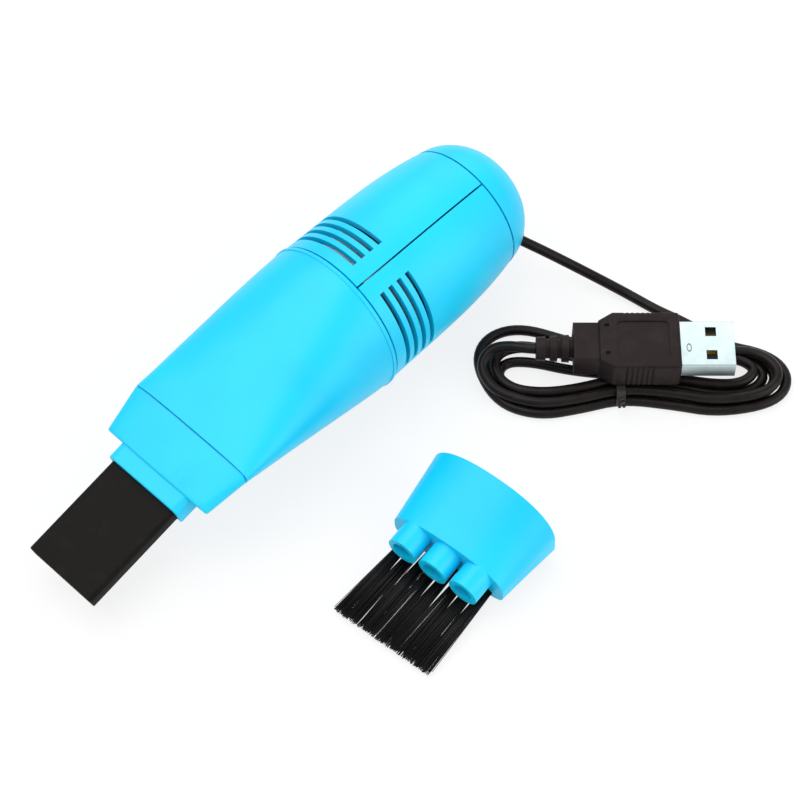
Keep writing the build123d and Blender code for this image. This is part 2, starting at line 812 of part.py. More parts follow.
with BuildPart() as motor_mount:
    with BuildSketch(across(mount_x)):
        Circle(mount_radius)
        Circle(boss_radius + seat, mode=Mode.SUBTRACT)
        with PolarLocations((boss_radius + can_radius) / 2 + 1, 4, start_angle=45):
            Circle(shaft_radius, mode=Mode.SUBTRACT)
    extrude(amount=mount_thickness)
    for centre in (0, 180):
        with BuildSketch(across(can_x)):
            with BuildLine():
                half = mount_grip_arc / 2
                inner_grip = CenterArc((0, 0), can_radius + seat, centre - half, mount_grip_arc)
                outer_grip = CenterArc((0, 0), can_radius + seat + mount_grip, centre - half,
                                       mount_grip_arc)
                Line(inner_grip @ 0, outer_grip @ 0)
                Line(inner_grip @ 1, outer_grip @ 1)
            make_face()
        extrude(amount=mount_grip_length)
motor_mount.part.label = "motor_mount"
export_step(motor_mount.part, "parts/motor_mount.step")


def can_section(x, inset=0.0):
    """Motor can's section: a circle with two flats, towards the seam's top and away from it."""
    with BuildSketch(across(x)) as section:
        Circle(can_radius - inset)
        Rectangle(2 * can_radius, 2 * (can_flat - inset), mode=Mode.INTERSECT)
    return section.sketch


with BuildPart() as motor_can:
    extrude(can_section(can_x), amount=can_length)
    extrude(can_section(can_x + can_wall, can_wall), amount=can_length, mode=Mode.SUBTRACT)
    with BuildSketch(across(can_x - boss_length)):
        Circle(boss_radius)
    extrude(amount=boss_length + can_wall)
    with BuildSketch(across(can_x - boss_length)):
        Circle(bush_radius)
    extrude(amount=bush_length, mode=Mode.SUBTRACT)
motor_can.part.label = "motor_can"
export_step(motor_can.part, "parts/motor_can.step")

with BuildPart() as motor_magnets:
    magnet_outer = can_radius - can_wall
    for centre in (0, 180):
        with BuildSketch(across(can_x + armature_back - (magnet_length - armature_length) / 2)):
            with BuildLine():
                half = magnet_arc / 2
                outside = CenterArc((0, 0), magnet_outer, centre - half, magnet_arc)
                inside = CenterArc((0, 0), magnet_outer - magnet_thickness, centre - half,
                                   magnet_arc)
                Line(inside @ 0, outside @ 0)
                Line(inside @ 1, outside @ 1)
            make_face()
        extrude(amount=magnet_length)
motor_magnets.part.label = "motor_magnets"
export_step(motor_magnets.part, "parts/motor_magnets.step")

with BuildPart() as motor_end_bell:
    extrude(can_section(bell_x), amount=bell_length)
    with BuildSketch(across(bell_x)):
        Circle(bush_radius)
        for side in (-1, 1):
            with Locations((side * terminal_offset, 0)):
                Rectangle(terminal_thickness, terminal_width)
    extrude(amount=bell_length, mode=Mode.SUBTRACT)
motor_end_bell.part.label = "motor_end_bell"
export_step(motor_end_bell.part, "parts/motor_end_bell.step")

with BuildPart() as motor_bushes:
    for start, length in ((can_x - boss_length, bush_length), (bell_x, bell_length)):
        with BuildSketch(across(start)):
            Circle(bush_radius)
            Circle(shaft_radius + shaft_play, mode=Mode.SUBTRACT)
        extrude(amount=length)
motor_bushes.part.label = "motor_bushes"
export_step(motor_bushes.part, "parts/motor_bushes.step")

armature_x = can_x + armature_back
pole_angles = [360 * pole / 3 for pole in range(3)]
arm_length = armature_radius - pole_shoe / 2

with BuildPart() as armature_core:
    with BuildSketch(across(armature_x)):
        for angle in pole_angles:
            with BuildLine():
                start_angle = angle - pole_shoe_arc / 2
                outside = CenterArc((0, 0), armature_radius, start_angle, pole_shoe_arc)
                inside = CenterArc((0, 0), armature_radius - pole_shoe, start_angle, pole_shoe_arc)
                Line(inside @ 0, outside @ 0)
                Line(inside @ 1, outside @ 1)
            make_face()
            with Locations(Location((0, 0), angle)):
                with Locations((arm_length / 2, 0)):
                    Rectangle(arm_length, pole_width)
        Circle(commutator_radius)
        Circle(shaft_radius, mode=Mode.SUBTRACT)
    extrude(amount=armature_length)
armature_core.part.label = "armature_core"
export_step(armature_core.part, "parts/armature_core.step")

winding_inner = commutator_radius + 0.8
winding_outer = armature_radius - pole_shoe - 2 * seat
with BuildPart() as armature_windings:
    for angle in pole_angles:
        with BuildSketch(across(armature_x - winding_overhang)):
            with Locations(Location((0, 0), angle)):
                with Locations(((winding_inner + winding_outer) / 2, 0)):
                    Rectangle(winding_outer - winding_inner, winding_width)
            Circle(winding_outer, mode=Mode.INTERSECT)
        extrude(amount=armature_length + 2 * winding_overhang)
        with BuildSketch(across(armature_x - seat)):
            with Locations(Location((0, 0), angle)):
                with Locations(((winding_inner + winding_outer) / 2, 0)):
                    Rectangle(winding_outer, pole_width + 2 * seat)
        extrude(amount=armature_length + 2 * seat, mode=Mode.SUBTRACT)
armature_windings.part.label = "armature_windings"
export_step(armature_windings.part, "parts/armature_windings.step")

commutator_x = armature_x + armature_length + winding_overhang + fit

with BuildPart() as commutator:
    with BuildSketch(across(commutator_x)):
        Circle(commutator_radius)
        Circle(shaft_radius, mode=Mode.SUBTRACT)
    extrude(amount=commutator_length)
    with BuildSketch(across(commutator_x)):
        with PolarLocations(commutator_radius, commutator_bars):
            Rectangle(1.0, 0.3)
    extrude(amount=commutator_length - 0.6, mode=Mode.SUBTRACT)
commutator.part.label = "commutator"
export_step(commutator.part, "parts/commutator.step")

terminal_x = bell_end + terminal_length

with BuildPart() as motor_terminals:
    for side in (-1, 1):
        with BuildSketch(across(bell_x)):
            with Locations((side * terminal_offset, 0)):
                Rectangle(terminal_thickness, terminal_width)
        extrude(amount=terminal_x - bell_x)
motor_terminals.part.label = "motor_terminals"
export_step(motor_terminals.part, "parts/motor_terminals.step")

leaf_x = commutator_x + commutator_length / 2
leaf_end = commutator_radius + leaf_play + leaf_thickness
foot_end = terminal_offset + terminal_thickness / 2

with BuildPart() as motor_leaves:
    for side in (-1, 1):
        with BuildSketch(across(leaf_x)):
            with Locations((side * (leaf_end - leaf_thickness / 2), 0)):
                Rectangle(leaf_thickness, terminal_width)
        extrude(amount=bell_x - leaf_x)
        with BuildSketch(across(bell_x - leaf_thickness)):
            with Locations((side * (leaf_end - leaf_thickness + foot_end) / 2, 0)):
                Rectangle(foot_end - leaf_end + leaf_thickness, terminal_width)
        extrude(amount=leaf_thickness)
motor_leaves.part.label = "motor_leaves"
export_step(motor_leaves.part, "parts/motor_leaves.step")

with BuildPart() as noise_capacitor:
    with BuildSketch(across(bell_end + capacitor_back)):
        Circle(capacitor_radius)
    extrude(amount=capacitor_thickness)
    fillet(edges().filter_by(GeomType.CIRCLE), 0.4)
    lead_plane = sideways(bell_end + capacitor_back + capacitor_thickness / 2, 0)
    with BuildSketch(lead_plane):
        Circle(lead_radius)
    extrude(amount=terminal_offset - terminal_thickness / 2, both=True)
noise_capacitor.part.label = "noise_capacitor"
export_step(noise_capacitor.part, "parts/noise_capacitor.step")


# ---------------------------------------------------------------- switch

stem_slot = knob_stem + knob_travel + 2 * fit
rest_shift = -knob_travel / 2


def switch_face(up):
    """Plane that faces out of the underside at the switch: its x runs aft."""
    out = (0, sin(roll), -cos(roll))
    return Plane(origin=vacuum_point(switch_x, -up, 0), x_dir=(1, 0, 0), z_dir=out)


with BuildPart() as switch_body:
    with BuildSketch(switch_face(switch_bottom)):
        Rectangle(switch_length, switch_width)
    extrude(amount=switch_height)
    with BuildSketch(switch_face(switch_top)):
        Rectangle(stem_slot, knob_stem + 2 * fit)
    extrude(amount=-switch_height / 2, mode=Mode.SUBTRACT)
switch_body.part.label = "switch_body"
export_step(switch_body.part, "parts/switch_body.step")

with BuildPart() as switch_pins:
    with BuildSketch(switch_face(switch_bottom)):
        with GridLocations(pin_pitch, 1, 3, 1):
            Rectangle(pin_thickness, pin_width)
    extrude(amount=-pin_length)
switch_pins.part.label = "switch_pins"
export_step(switch_pins.part, "parts/switch_pins.step")

with BuildPart() as switch_knob:
    with BuildSketch(switch_face(switch_top + fit)):
        with Locations((rest_shift, 0)):
            Rectangle(knob_length + knob_travel / 2, knob_width + knob_flange)
    extrude(amount=knob_flange)
    with BuildSketch(switch_face(switch_top + fit)):
        with Locations((rest_shift, 0)):
            Rectangle(knob_length, knob_width)
    extrude(amount=switch_depth - fit + knob_proud)
    with BuildSketch(switch_face(switch_top + switch_depth + knob_proud)):
        with Locations((rest_shift, 0)):
            with GridLocations(knob_length / knob_ribs, 1, knob_ribs - 1, 1):
                Rectangle(knob_length / knob_ribs / 2, knob_width)
    extrude(amount=-knob_proud, mode=Mode.SUBTRACT)
    with BuildSketch(switch_face(switch_top + fit)):
        with Locations((rest_shift, 0)):
            Rectangle(knob_stem, knob_stem)
    extrude(amount=-switch_height / 3)
switch_knob.part.label = "switch_knob"
export_step(switch_knob.part, "parts/switch_knob.step")


# ---------------------------------------------------------------- wires and cord

def corner_radii(points):
    """Radius of the arc at each corner: as large as the two runs beside it allow."""
    runs = [Vector(*end) - Vector(*start) for start, end in zip(points, points[1:])]
    radii = []
    for before, after in zip(runs, runs[1:]):
        half_turn = radians(before.get_angle(after)) / 2
        radii.append(0.45 * min(before.length, after.length) / tan(half_turn))
    return radii


def tube(points, diameter):
    """Round tube along straight runs joined by tangent arcs."""
    with BuildPart() as solid:
        with BuildLine() as route:
            FilletPolyline(*points, radius=corner_radii(points))
        with BuildSketch(Plane(origin=route.line @ 0, z_dir=route.line % 0)):
            Circle(diameter / 2)
        sweep(path=route.line)
    length = sum(edge.length for edge in route.line.edges())
    section = pi * diameter ** 2 / 4
    print("tube", round(length, 1), "mm long, volume over section times length",
          round(solid.part.volume / section / length, 4),
          "radii", [round(radius, 1) for radius in corner_radii(points)])
    return solid.part


cord_end_plane = gland_plane.offset(-gland_inside - gland_flange)
core_starts = [tuple(cord_end_plane.from_local_coords((side * wire_apart / 2, 0, 0)))
               for side in (1, -1)]
core_nexts = [tuple(cord_end_plane.from_local_coords((side * wire_apart / 2, 0, -wire_end)))
              for side in (1, -1)]
pin_up = -(switch_bottom - pin_length / 2)
pin_face_x = switch_x + pin_pitch + pin_thickness / 2
terminal_middle = (bell_end + terminal_x) / 2
flat_up = -(can_flat + wire_diameter / 2 + wire_gap)

switch_supply_points = [
    core_starts[0],
    core_nexts[0],
    *[vacuum_point(bell_end + back, up, left) for back, up, left in bell_bends],
    vacuum_point(bell_x + can_bend[0], flat_up, can_bend[1]),
    *[vacuum_point(pin_face_x + back, flat_up + up, left) for back, up, left in pin_bends],
    vacuum_point(pin_face_x + pin_run, pin_up, 0),
    vacuum_point(pin_face_x, pin_up, 0),
]
motor_supply_points = [
    core_starts[1],
    core_nexts[1],
    vacuum_point(terminal_middle, terminal_bend[0], -(foot_end + terminal_bend[1])),
    vacuum_point(terminal_middle, 0, -foot_end),
]
switch_wire_points = [
    vacuum_point(switch_x, pin_up, pin_width / 2),
    vacuum_point(switch_x, pin_up, pin_width / 2 + switch_run),
    vacuum_point(switch_x + switch_rise[0], pin_up + switch_rise[1], switch_rise[2]),
    *[vacuum_point(switch_x + back, flat_up + up, left) for back, up, left in switch_bends],
    vacuum_point(bell_x + seam_bend[0], flat_up, seam_bend[1]),
    vacuum_point(bell_end + corner_bend[0], corner_bend[1], corner_bend[2]),
    *[vacuum_point(terminal_middle, up, left) for up, left in side_bends],
    vacuum_point(terminal_middle, 0, foot_end),
]

with BuildPart() as supply_wires:
    add(tube(switch_supply_points, wire_diameter))
    add(tube(motor_supply_points, wire_diameter))
supply_wires.part.label = "supply_wires"
export_step(supply_wires.part, "parts/supply_wires.step")

with BuildPart() as switch_wire:
    add(tube(switch_wire_points, wire_diameter))
switch_wire.part.label = "switch_wire"
export_step(switch_wire.part, "parts/switch_wire.step")

cord_start = tuple(cord_end_plane.origin)
cord_next = tuple(cord_end_plane.from_local_coords((0, 0, cord_run)))

with BuildPart() as cord_lead:
    add(tube([cord_start, cord_next, *cord_points], cord_diameter))
cord_lead.part.label = "cord_lead"
export_step(cord_lead.part, "parts/cord_lead.step")

coil_long = (cos(radians(coil_turn)), sin(radians(coil_turn)), 0)
coil_plane = Plane(origin=(coil_x, coil_y, 0), x_dir=coil_long, z_dir=(0, 0, 1))

with BuildPart() as cord_coil:
    with BuildSketch(coil_plane):
        with BuildLine():
            Spline(*coil_outline, periodic=True)
        make_face()
        with BuildLine():
            Spline(*coil_hole, periodic=True)
        make_face(mode=Mode.SUBTRACT)
    extrude(amount=coil_height)
    fillet(faces().sort_by(Axis.Z)[-1].edges(), coil_edge)
    fillet(faces().sort_by(Axis.Z)[0].edges(), coil_edge)
cord_coil.part.label = "cord_coil"
export_step(cord_coil.part, "parts/cord_coil.step")

plug_z = plug_rest + body_height / 2
relief_start = body_start - neck_length - relief_length
lead_start = (relief_start, plug_side, plug_z)

with BuildPart() as plug_lead:
    add(tube([tuple(coil_plane.from_local_coords(point)) for point in (lead_start, *lead_points)],
             cord_diameter))
plug_lead.part.label = "plug_lead"
export_step(plug_lead.part, "parts/plug_lead.step")

tie_plane = Plane(
    origin=coil_plane.from_local_coords(
        (tie_along - tie_width / 2, (tie_low + tie_high) / 2, (coil_height + tie_thickness) / 2)),
    x_dir=(-coil_long[1], coil_long[0], 0),
    z_dir=coil_long,
)
tie_span = tie_high - tie_low + 2 * tie_thickness

with BuildPart() as cord_tie:
    with BuildSketch(tie_plane):
        RectangleRounded(tie_span, coil_height + tie_thickness, 1.6)
        RectangleRounded(tie_span - 2 * tie_thickness, coil_height - tie_thickness, 1.3,
                         mode=Mode.SUBTRACT)
    extrude(amount=tie_width)
cord_tie.part.label = "cord_tie"
export_step(cord_tie.part, "parts/cord_tie.step")


# ---------------------------------------------------------------- plug

body_end = body_start + body_length
neck_start = body_start - neck_length
shoulder = (body_width - neck_width) / 2
plug_plane = Plane(
    origin=coil_plane.from_local_coords((0, plug_side, plug_z)), x_dir=coil_long, z_dir=(0, 0, 1)
)


def across_plug(along):
    """Plane across the plug: its x is to the plug's left and its y up."""
    return Plane(
        origin=plug_plane.from_local_coords((along, 0, 0)),
        x_dir=(-coil_long[1], coil_long[0], 0),
        z_dir=coil_long,
    )


with BuildPart() as plug_overmold:
    with BuildSketch(plug_plane.offset(-body_height / 2)):
        Polygon(
            (body_start, -body_width / 2 + shoulder),
            (body_start + shoulder_length, -body_width / 2),
            (body_end, -body_width / 2),
            (body_end, body_width / 2),
            (body_start + shoulder_length, body_width / 2),
            (body_start, body_width / 2 - shoulder),
            align=None,
        )
    extrude(amount=body_height)
    fillet(edges().filter_by(Axis.Z), body_corner)
    fillet(faces().filter_by(Axis.Z).edges(), body_corner - seat)
    with BuildSketch(across_plug(neck_start)):
        RectangleRounded(neck_width, neck_height, 1.0)
    extrude(amount=neck_length + 1)
    with BuildSketch(across_plug(neck_start)):
        Circle(relief_radius)
    with BuildSketch(across_plug(relief_start)):
        Circle(relief_tip_radius)
    loft()
    for ring in range(relief_rings):
        ring_start = neck_start - relief_groove - ring * (relief_ring_length + relief_groove)
        with BuildSketch(across_plug(ring_start)):
            Circle(relief_radius + relief_groove)
            Circle(cord_diameter / 2 + relief_groove, mode=Mode.SUBTRACT)
        extrude(amount=relief_groove, mode=Mode.SUBTRACT)
    with BuildSketch(plug_plane.offset(body_height / 2)):
        with Locations((panel_along, 0)):
            RectangleRounded(panel_length, panel_width, panel_corner)
    extrude(amount=-panel_depth, mode=Mode.SUBTRACT)
    with BuildSketch(plug_plane.offset(body_height / 2)):
        with Locations((notch_along, notch_pitch / 2), (notch_along, -notch_pitch / 2)):
            Rectangle(notch_side, notch_side)
    extrude(amount=-notch_depth, mode=Mode.SUBTRACT)
    with BuildSketch(plug_plane.offset(-body_height / 2)):
        for side in (-1, 1):
            with Locations((grip_along, side * body_width / 2)):
                with GridLocations(grip_pitch, 1, grip_count, 1):
                    Rectangle(grip_width, 2 * grip_depth)
    extrude(amount=body_height, mode=Mode.SUBTRACT)
    with BuildSketch(across_plug(body_end - usb_inside)):
        RectangleRounded(usb_width, usb_height, usb_corner)
    extrude(amount=usb_inside, mode=Mode.SUBTRACT)
plug_overmold.part.label = "plug_overmold"
export_step(plug_overmold.part, "parts/plug_overmold.step")

usb_mouth = body_end + usb_length

with BuildPart() as usb_shell:
    with BuildSketch(across_plug(body_end - usb_inside)):
        RectangleRounded(usb_width, usb_height, usb_corner)
        RectangleRounded(usb_width - 2 * usb_wall, usb_height - 2 * usb_wall,
                         usb_corner - usb_wall / 2, mode=Mode.SUBTRACT)
    extrude(amount=usb_length + usb_inside)
    with BuildSketch(plug_plane.offset(-usb_height)):
        with Locations((usb_mouth - usb_hole_back, usb_hole_pitch / 2),
                       (usb_mouth - usb_hole_back, -usb_hole_pitch / 2)):
            Rectangle(usb_hole, usb_hole)
    extrude(amount=2 * usb_height, mode=Mode.SUBTRACT)
usb_shell.part.label = "usb_shell"
export_step(usb_shell.part, "parts/usb_shell.step")

tongue_floor = -usb_height / 2 + usb_wall
inner_height = usb_height - 2 * usb_wall
inner_width = usb_width - 2 * usb_wall

with BuildPart() as usb_tongue:
    with BuildSketch(across_plug(body_end - usb_inside)):
        with Locations((0, tongue_floor + tongue_height / 2)):
            Rectangle(tongue_width, tongue_height)
    extrude(amount=usb_inside + usb_length - tongue_short)
    with BuildSketch(across_plug(body_end - usb_inside)):
        RectangleRounded(inner_width, inner_height, usb_corner - usb_wall / 2)
    extrude(amount=usb_inside)
usb_tongue.part.label = "usb_tongue"
export_step(usb_tongue.part, "parts/usb_tongue.step")

with BuildPart() as usb_contacts:
    with BuildSketch(across_plug(usb_mouth - tongue_short - contact_length)):
        for offset_across in contact_pitches:
            with Locations((offset_across, tongue_floor + tongue_height + contact_height / 2)):
                Rectangle(contact_width, contact_height)
    extrude(amount=contact_length - tongue_short)
usb_contacts.part.label = "usb_contacts"
export_step(usb_contacts.part, "parts/usb_contacts.step")


# ---------------------------------------------------------------- brush head

yaw = radians(brush_yaw)
pitch = radians(brush_pitch)
brush_along = (-cos(yaw) * cos(pitch), -sin(yaw) * cos(pitch), -sin(pitch))
brush_side = (sin(yaw), -cos(yaw), 0)
brush_z = brush_wide_drop * cos(pitch) + brush_lift


def brush_plane(along):
    """Plane across the brush head, this far from its wide mouth: x to its side, y up."""
    origin = (brush_x + along * brush_along[0], brush_y + along * brush_along[1],
              brush_z + along * brush_along[2])
    return Plane(origin=origin, x_dir=brush_side, z_dir=brush_along)


def brush_section(along, inset=0.0):
    """Face across the brush head's housing, shrunk by a wall."""
    share = along / brush_length
    half_width = between(brush_wide_half, brush_narrow_half, share)
    rise = between(brush_wide_rise, brush_narrow_rise, share)
    drop = between(brush_wide_drop, brush_narrow_drop, share)
    return arch(brush_plane(along), half_width - inset, rise - inset, drop - inset,
                arch_fullness, base_fullness, -brush_droop * share)


tuft_places = [(number - (tuft_count - 1) / 2) * tuft_pitch for number in range(tuft_count)]

with BuildPart() as brush_cap:
    loft(sections=[brush_section(0), brush_section(brush_length)])
    loft(sections=[brush_section(0, brush_wall),
                   brush_section(brush_length - brush_face, brush_wall)], mode=Mode.SUBTRACT)
    with BuildSketch(brush_plane(brush_length - 1)):
        with Locations((0, tube_offset)):
            with GridLocations(tube_pitch, 1, tube_count, 1):
                Circle(tube_radius)
    extrude(amount=tube_length + 1)
    with BuildSketch(brush_plane(brush_length - brush_face - 1)):
        with Locations((0, tube_offset)):
            with GridLocations(tube_pitch, 1, tube_count, 1):
                Circle(tube_bore)
    extrude(amount=brush_face + tube_length + 1, mode=Mode.SUBTRACT)
    with BuildSketch(brush_plane(brush_length)):
        for place in tuft_places:
            with Locations((place, tuft_offset)):
                Circle(tuft_hole)
    extrude(amount=-tuft_depth, mode=Mode.SUBTRACT)
brush_cap.part.label = "brush_cap"
export_step(brush_cap.part, "parts/brush_cap.step")

with BuildPart() as brush_socket:
    loft(sections=[brush_section(0, brush_wall + seat),
                   brush_section(socket_plate, brush_wall + seat)])
    with BuildSketch(brush_plane(0)):
        RectangleRounded(collar_width + 2 * socket_play, collar_height + 2 * socket_play,
                         collar_corner)
    extrude(amount=socket_plate, mode=Mode.SUBTRACT)
brush_socket.part.label = "brush_socket"
export_step(brush_socket.part, "parts/brush_socket.step")

with BuildPart() as brush_tufts:
    for place in tuft_places:
        with BuildSketch(brush_plane(brush_length - tuft_depth)):
            with Locations((place, tuft_offset)):
                Circle(tuft_radius)
        extrude(amount=tuft_depth)
        with BuildSketch(brush_plane(brush_length)):
            with Locations((place, tuft_offset)):
                Circle(tuft_radius)
        with BuildSketch(brush_plane(brush_length + tuft_length)):
            with Locations((place * tuft_fan + tuft_lean, tuft_offset)):
                Ellipse(tuft_tip_width / 2, tuft_tip_height / 2)
        loft()
brush_tufts.part.label = "brush_tufts"
export_step(brush_tufts.part, "parts/brush_tufts.step")
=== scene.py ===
# A desktop mini vacuum cleaner with its brush head and its tied power cord.
# Lengths are in metres, in the part's own frame: X runs from the nozzle to the tail, Z is up.
import json
from math import cos, pi, radians, sin

import bmesh
import bpy
from mathutils import Matrix, Vector

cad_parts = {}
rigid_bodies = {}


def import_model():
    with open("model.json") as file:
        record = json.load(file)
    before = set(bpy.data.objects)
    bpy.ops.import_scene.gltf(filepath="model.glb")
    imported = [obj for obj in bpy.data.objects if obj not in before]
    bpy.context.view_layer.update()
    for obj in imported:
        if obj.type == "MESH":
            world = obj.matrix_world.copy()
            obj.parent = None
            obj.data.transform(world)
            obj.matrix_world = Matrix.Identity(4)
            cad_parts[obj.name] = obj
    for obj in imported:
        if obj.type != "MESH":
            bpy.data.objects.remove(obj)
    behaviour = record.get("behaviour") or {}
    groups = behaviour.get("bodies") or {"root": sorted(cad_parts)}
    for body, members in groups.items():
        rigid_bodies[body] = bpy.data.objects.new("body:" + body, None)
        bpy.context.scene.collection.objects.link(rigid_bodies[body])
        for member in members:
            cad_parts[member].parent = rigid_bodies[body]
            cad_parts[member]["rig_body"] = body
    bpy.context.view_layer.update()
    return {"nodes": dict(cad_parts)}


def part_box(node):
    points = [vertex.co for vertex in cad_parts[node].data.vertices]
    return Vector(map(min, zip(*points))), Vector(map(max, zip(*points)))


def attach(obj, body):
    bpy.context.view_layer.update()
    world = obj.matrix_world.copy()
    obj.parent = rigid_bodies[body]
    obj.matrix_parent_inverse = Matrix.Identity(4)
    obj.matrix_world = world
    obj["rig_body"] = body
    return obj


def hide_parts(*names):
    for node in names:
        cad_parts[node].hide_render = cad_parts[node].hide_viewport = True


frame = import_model()


# ---------------------------------------------------------------- dust cup
# The front housing that holds the dust: one thin moulding in clear bright cyan plastic, flat at
# the nose and round at the step, pushed over the spigot of the rear housing.

mm = 0.001


class Signal:
    """A value in a material's tree. Sums of signals and numbers add their Math nodes."""

    def __init__(self, socket):
        self.socket = socket

    def node(self, kind, settings=None, inputs=None, output=0):
        """Any other node of this tree: its type, its settings, then its sockets by name or place."""
        tree = self.socket.id_data
        made = tree.nodes.new(kind)
        for name, value in (settings or {}).items():
            setattr(made, name, value)
        for name, value in (inputs or {}).items():
            if isinstance(value, Signal):
                tree.links.new(value.socket, made.inputs[name])
            else:
                made.inputs[name].default_value = value
        return Signal(made.outputs[output])

    def maths(self, operation, *values):
        return self.node("ShaderNodeMath", {"operation": operation}, dict(enumerate(values)))

    def __add__(self, other):
        return self.maths("ADD", self, other)

    __radd__ = __add__

    def __sub__(self, other):
        return self.maths("SUBTRACT", self, other)

    def __rsub__(self, other):
        return self.maths("SUBTRACT", other, self)

    def __mul__(self, other):
        return self.maths("MULTIPLY", self, other)

    __rmul__ = __mul__

    def __truediv__(self, other):
        return self.maths("DIVIDE", self, other)

    def __pow__(self, other):
        return self.maths("POWER", self, other)

    def between(self, low, high):
        """0 under low, 1 over high, with a smooth step from one to the other."""
        return self.node("ShaderNodeMapRange", {"interpolation_type": "SMOOTHSTEP"},
                         {"Value": self, "From Min": low, "From Max": high})

    def grain(self, scale, detail, roughness=0.6):
        """Noise from 0 to 1 at this many cells per metre, on a place."""
        return self.node("ShaderNodeTexNoise", {},
                         {"Vector": self, "Scale": scale, "Detail": detail, "Roughness": roughness})

    def stretched(self, x, y, z):
        """A place with its axes scaled."""
        return self.node("ShaderNodeVectorMath", {"operation": "MULTIPLY"}, {0: self, 1: (x, y, z)})

    def mixed(self, first, second):
        """A colour between two, with this signal as the share of the second."""
        colours = [c if isinstance(c, Signal) else (*c, 1) for c in (first, second)]
        return self.node("ShaderNodeMix", {"data_type": "RGBA"},
                         {0: self, 6: colours[0], 7: colours[1]}, 2)


def new_finish(name):
    """A new material, its shader's sockets, and the place of each point of the piece."""
    material = bpy.data.materials.new(name)
    material.use_nodes = True
    nodes = material.node_tree.nodes
    place = Signal(nodes.new("ShaderNodeTexCoord").outputs["Object"])
    return material, nodes["Principled BSDF"].inputs, place


def feed(socket, signal):
    """Puts a signal or a plain value on a shader's socket."""
    if isinstance(signal, Signal):
        socket.id_data.links.new(signal.socket, socket)
    else:
        socket.default_value = signal


def relief(height, depth, strength):
    """A normal from a height signal, where 1 stands this many metres proud."""
    return height.node("ShaderNodeBump", {},
                       {"Strength": strength, "Distance": depth, "Height": height})


def moulding(node, name, finish, crease=32, rounding=0.0):
    """A clean copy of a frame piece that stands for it: joined faces, soft shading, broken edges."""
    shape = bmesh.new()
    shape.from_mesh(frame["nodes"][node].data)
    bmesh.ops.remove_doubles(shape, verts=shape.verts, dist=1e-6)
    bmesh.ops.dissolve_limit(shape, angle_limit=radians(0.3), verts=shape.verts, edges=shape.edges)
    mesh = bpy.data.meshes.new(name)
    shape.to_mesh(mesh)
    shape.free()
    mesh.materials.clear()
    mesh.materials.append(finish)
    mesh.shade_smooth()
    mesh.set_sharp_from_angle(angle=radians(crease))
    piece = bpy.data.objects.new(name, mesh)
    bpy.context.scene.collection.objects.link(piece)
    if rounding:
        bevel = piece.modifiers.new("broken_edges", "BEVEL")
        bevel.width = rounding
        bevel.segments = 2
        bevel.limit_method = "ANGLE"
        bevel.angle_limit = radians(40)
        bevel.use_clamp_overlap = True
        bevel.harden_normals = True
    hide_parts(node)
    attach(piece, frame["nodes"][node]["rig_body"])
    return piece


cup_cyan = (0.006, 0.61, 0.90)
cup_cyan_deep = (0.003, 0.54, 0.84)

cyan_moulding, shader, place = new_finish("cyan_moulding")
tone = place.grain(35, 2.0)
feed(shader["Base Color"], tone.between(0.3, 0.8).mixed(cup_cyan, cup_cyan_deep))
spark = place.grain(9000, 2.0)
feed(shader["Roughness"], place.grain(160, 4.0) * 0.10 + 0.36)
feed(shader["Normal"], relief(spark, 0.004 * mm, 0.6))
shader["Specular IOR Level"].default_value = 0.30
shader["Coat Weight"].default_value = 0.05
shader["Coat Roughness"].default_value = 0.25

moulding("dust_cup", "dust_cup_moulding", cyan_moulding)
moulding("nose_cap", "nose_cap_moulding", cyan_moulding)
moulding("nozzle_collar", "nozzle_collar_moulding", cyan_moulding)


# ---------------------------------------------------------------- crevice nozzle
# A flat tube of soft black rubber, open at both ends. It is moulded in one piece and pushed into
# the collar, where its own stretch holds it.

nozzle_black = (0.0040, 0.0034, 0.0026)
nozzle_worn = (0.0095, 0.0085, 0.0065)

black_rubber, shader, place = new_finish("black_nozzle_rubber")
dust = place.grain(220, 5.0)
feed(shader["Base Color"], dust.between(0.45, 0.8).mixed(nozzle_black, nozzle_worn))
feed(shader["Roughness"], dust * 0.15 + 0.50)
feed(shader["Normal"], relief(place.grain(5200, 2.0), 0.01 * mm, 0.6))
shader["Specular IOR Level"].default_value = 0.12

moulding("crevice_nozzle", "nozzle_tube", black_rubber, rounding=0.25 * mm)


# ---------------------------------------------------------------- dust filter
# A ring of natural nylon with a cross, and a cap of white non-woven cloth welded to it. The cloth
# is a disc pressed to a shallow cup with soft folds round its side.

nylon_white = (0.80, 0.79, 0.73)
nylon_shade = (0.66, 0.64, 0.56)

natural_nylon, shader, place = new_finish("natural_nylon")
feed(shader["Base Color"], place.grain(240, 3.0).between(0.35, 0.75).mixed(nylon_white, nylon_shade))
feed(shader["Roughness"], place.grain(900, 3.0) * 0.15 + 0.42)
feed(shader["Normal"], relief(place.grain(3800, 2.0), 0.008 * mm, 0.5))
moulding("filter_frame", "filter_ring", natural_nylon)

fleece_white = (0.80, 0.81, 0.82)
fleece_dust = (0.52, 0.51, 0.49)
fibre_fleece, shader, place = new_finish("fibre_fleece")
fibres = place.stretched(1, 0.35, 1).grain(5200, 5.0, 0.75) * 0.6 + place.grain(2400, 4.0) * 0.4
feed(shader["Base Color"], place.grain(180, 4.0).between(0.42, 0.8).mixed(fleece_white, fleece_dust))
feed(shader["Roughness"], fibres * 0.1 + 0.86)
feed(shader["Normal"], relief(fibres, 0.12 * mm, 0.8))
shader["Sheen Weight"].default_value = 0.3

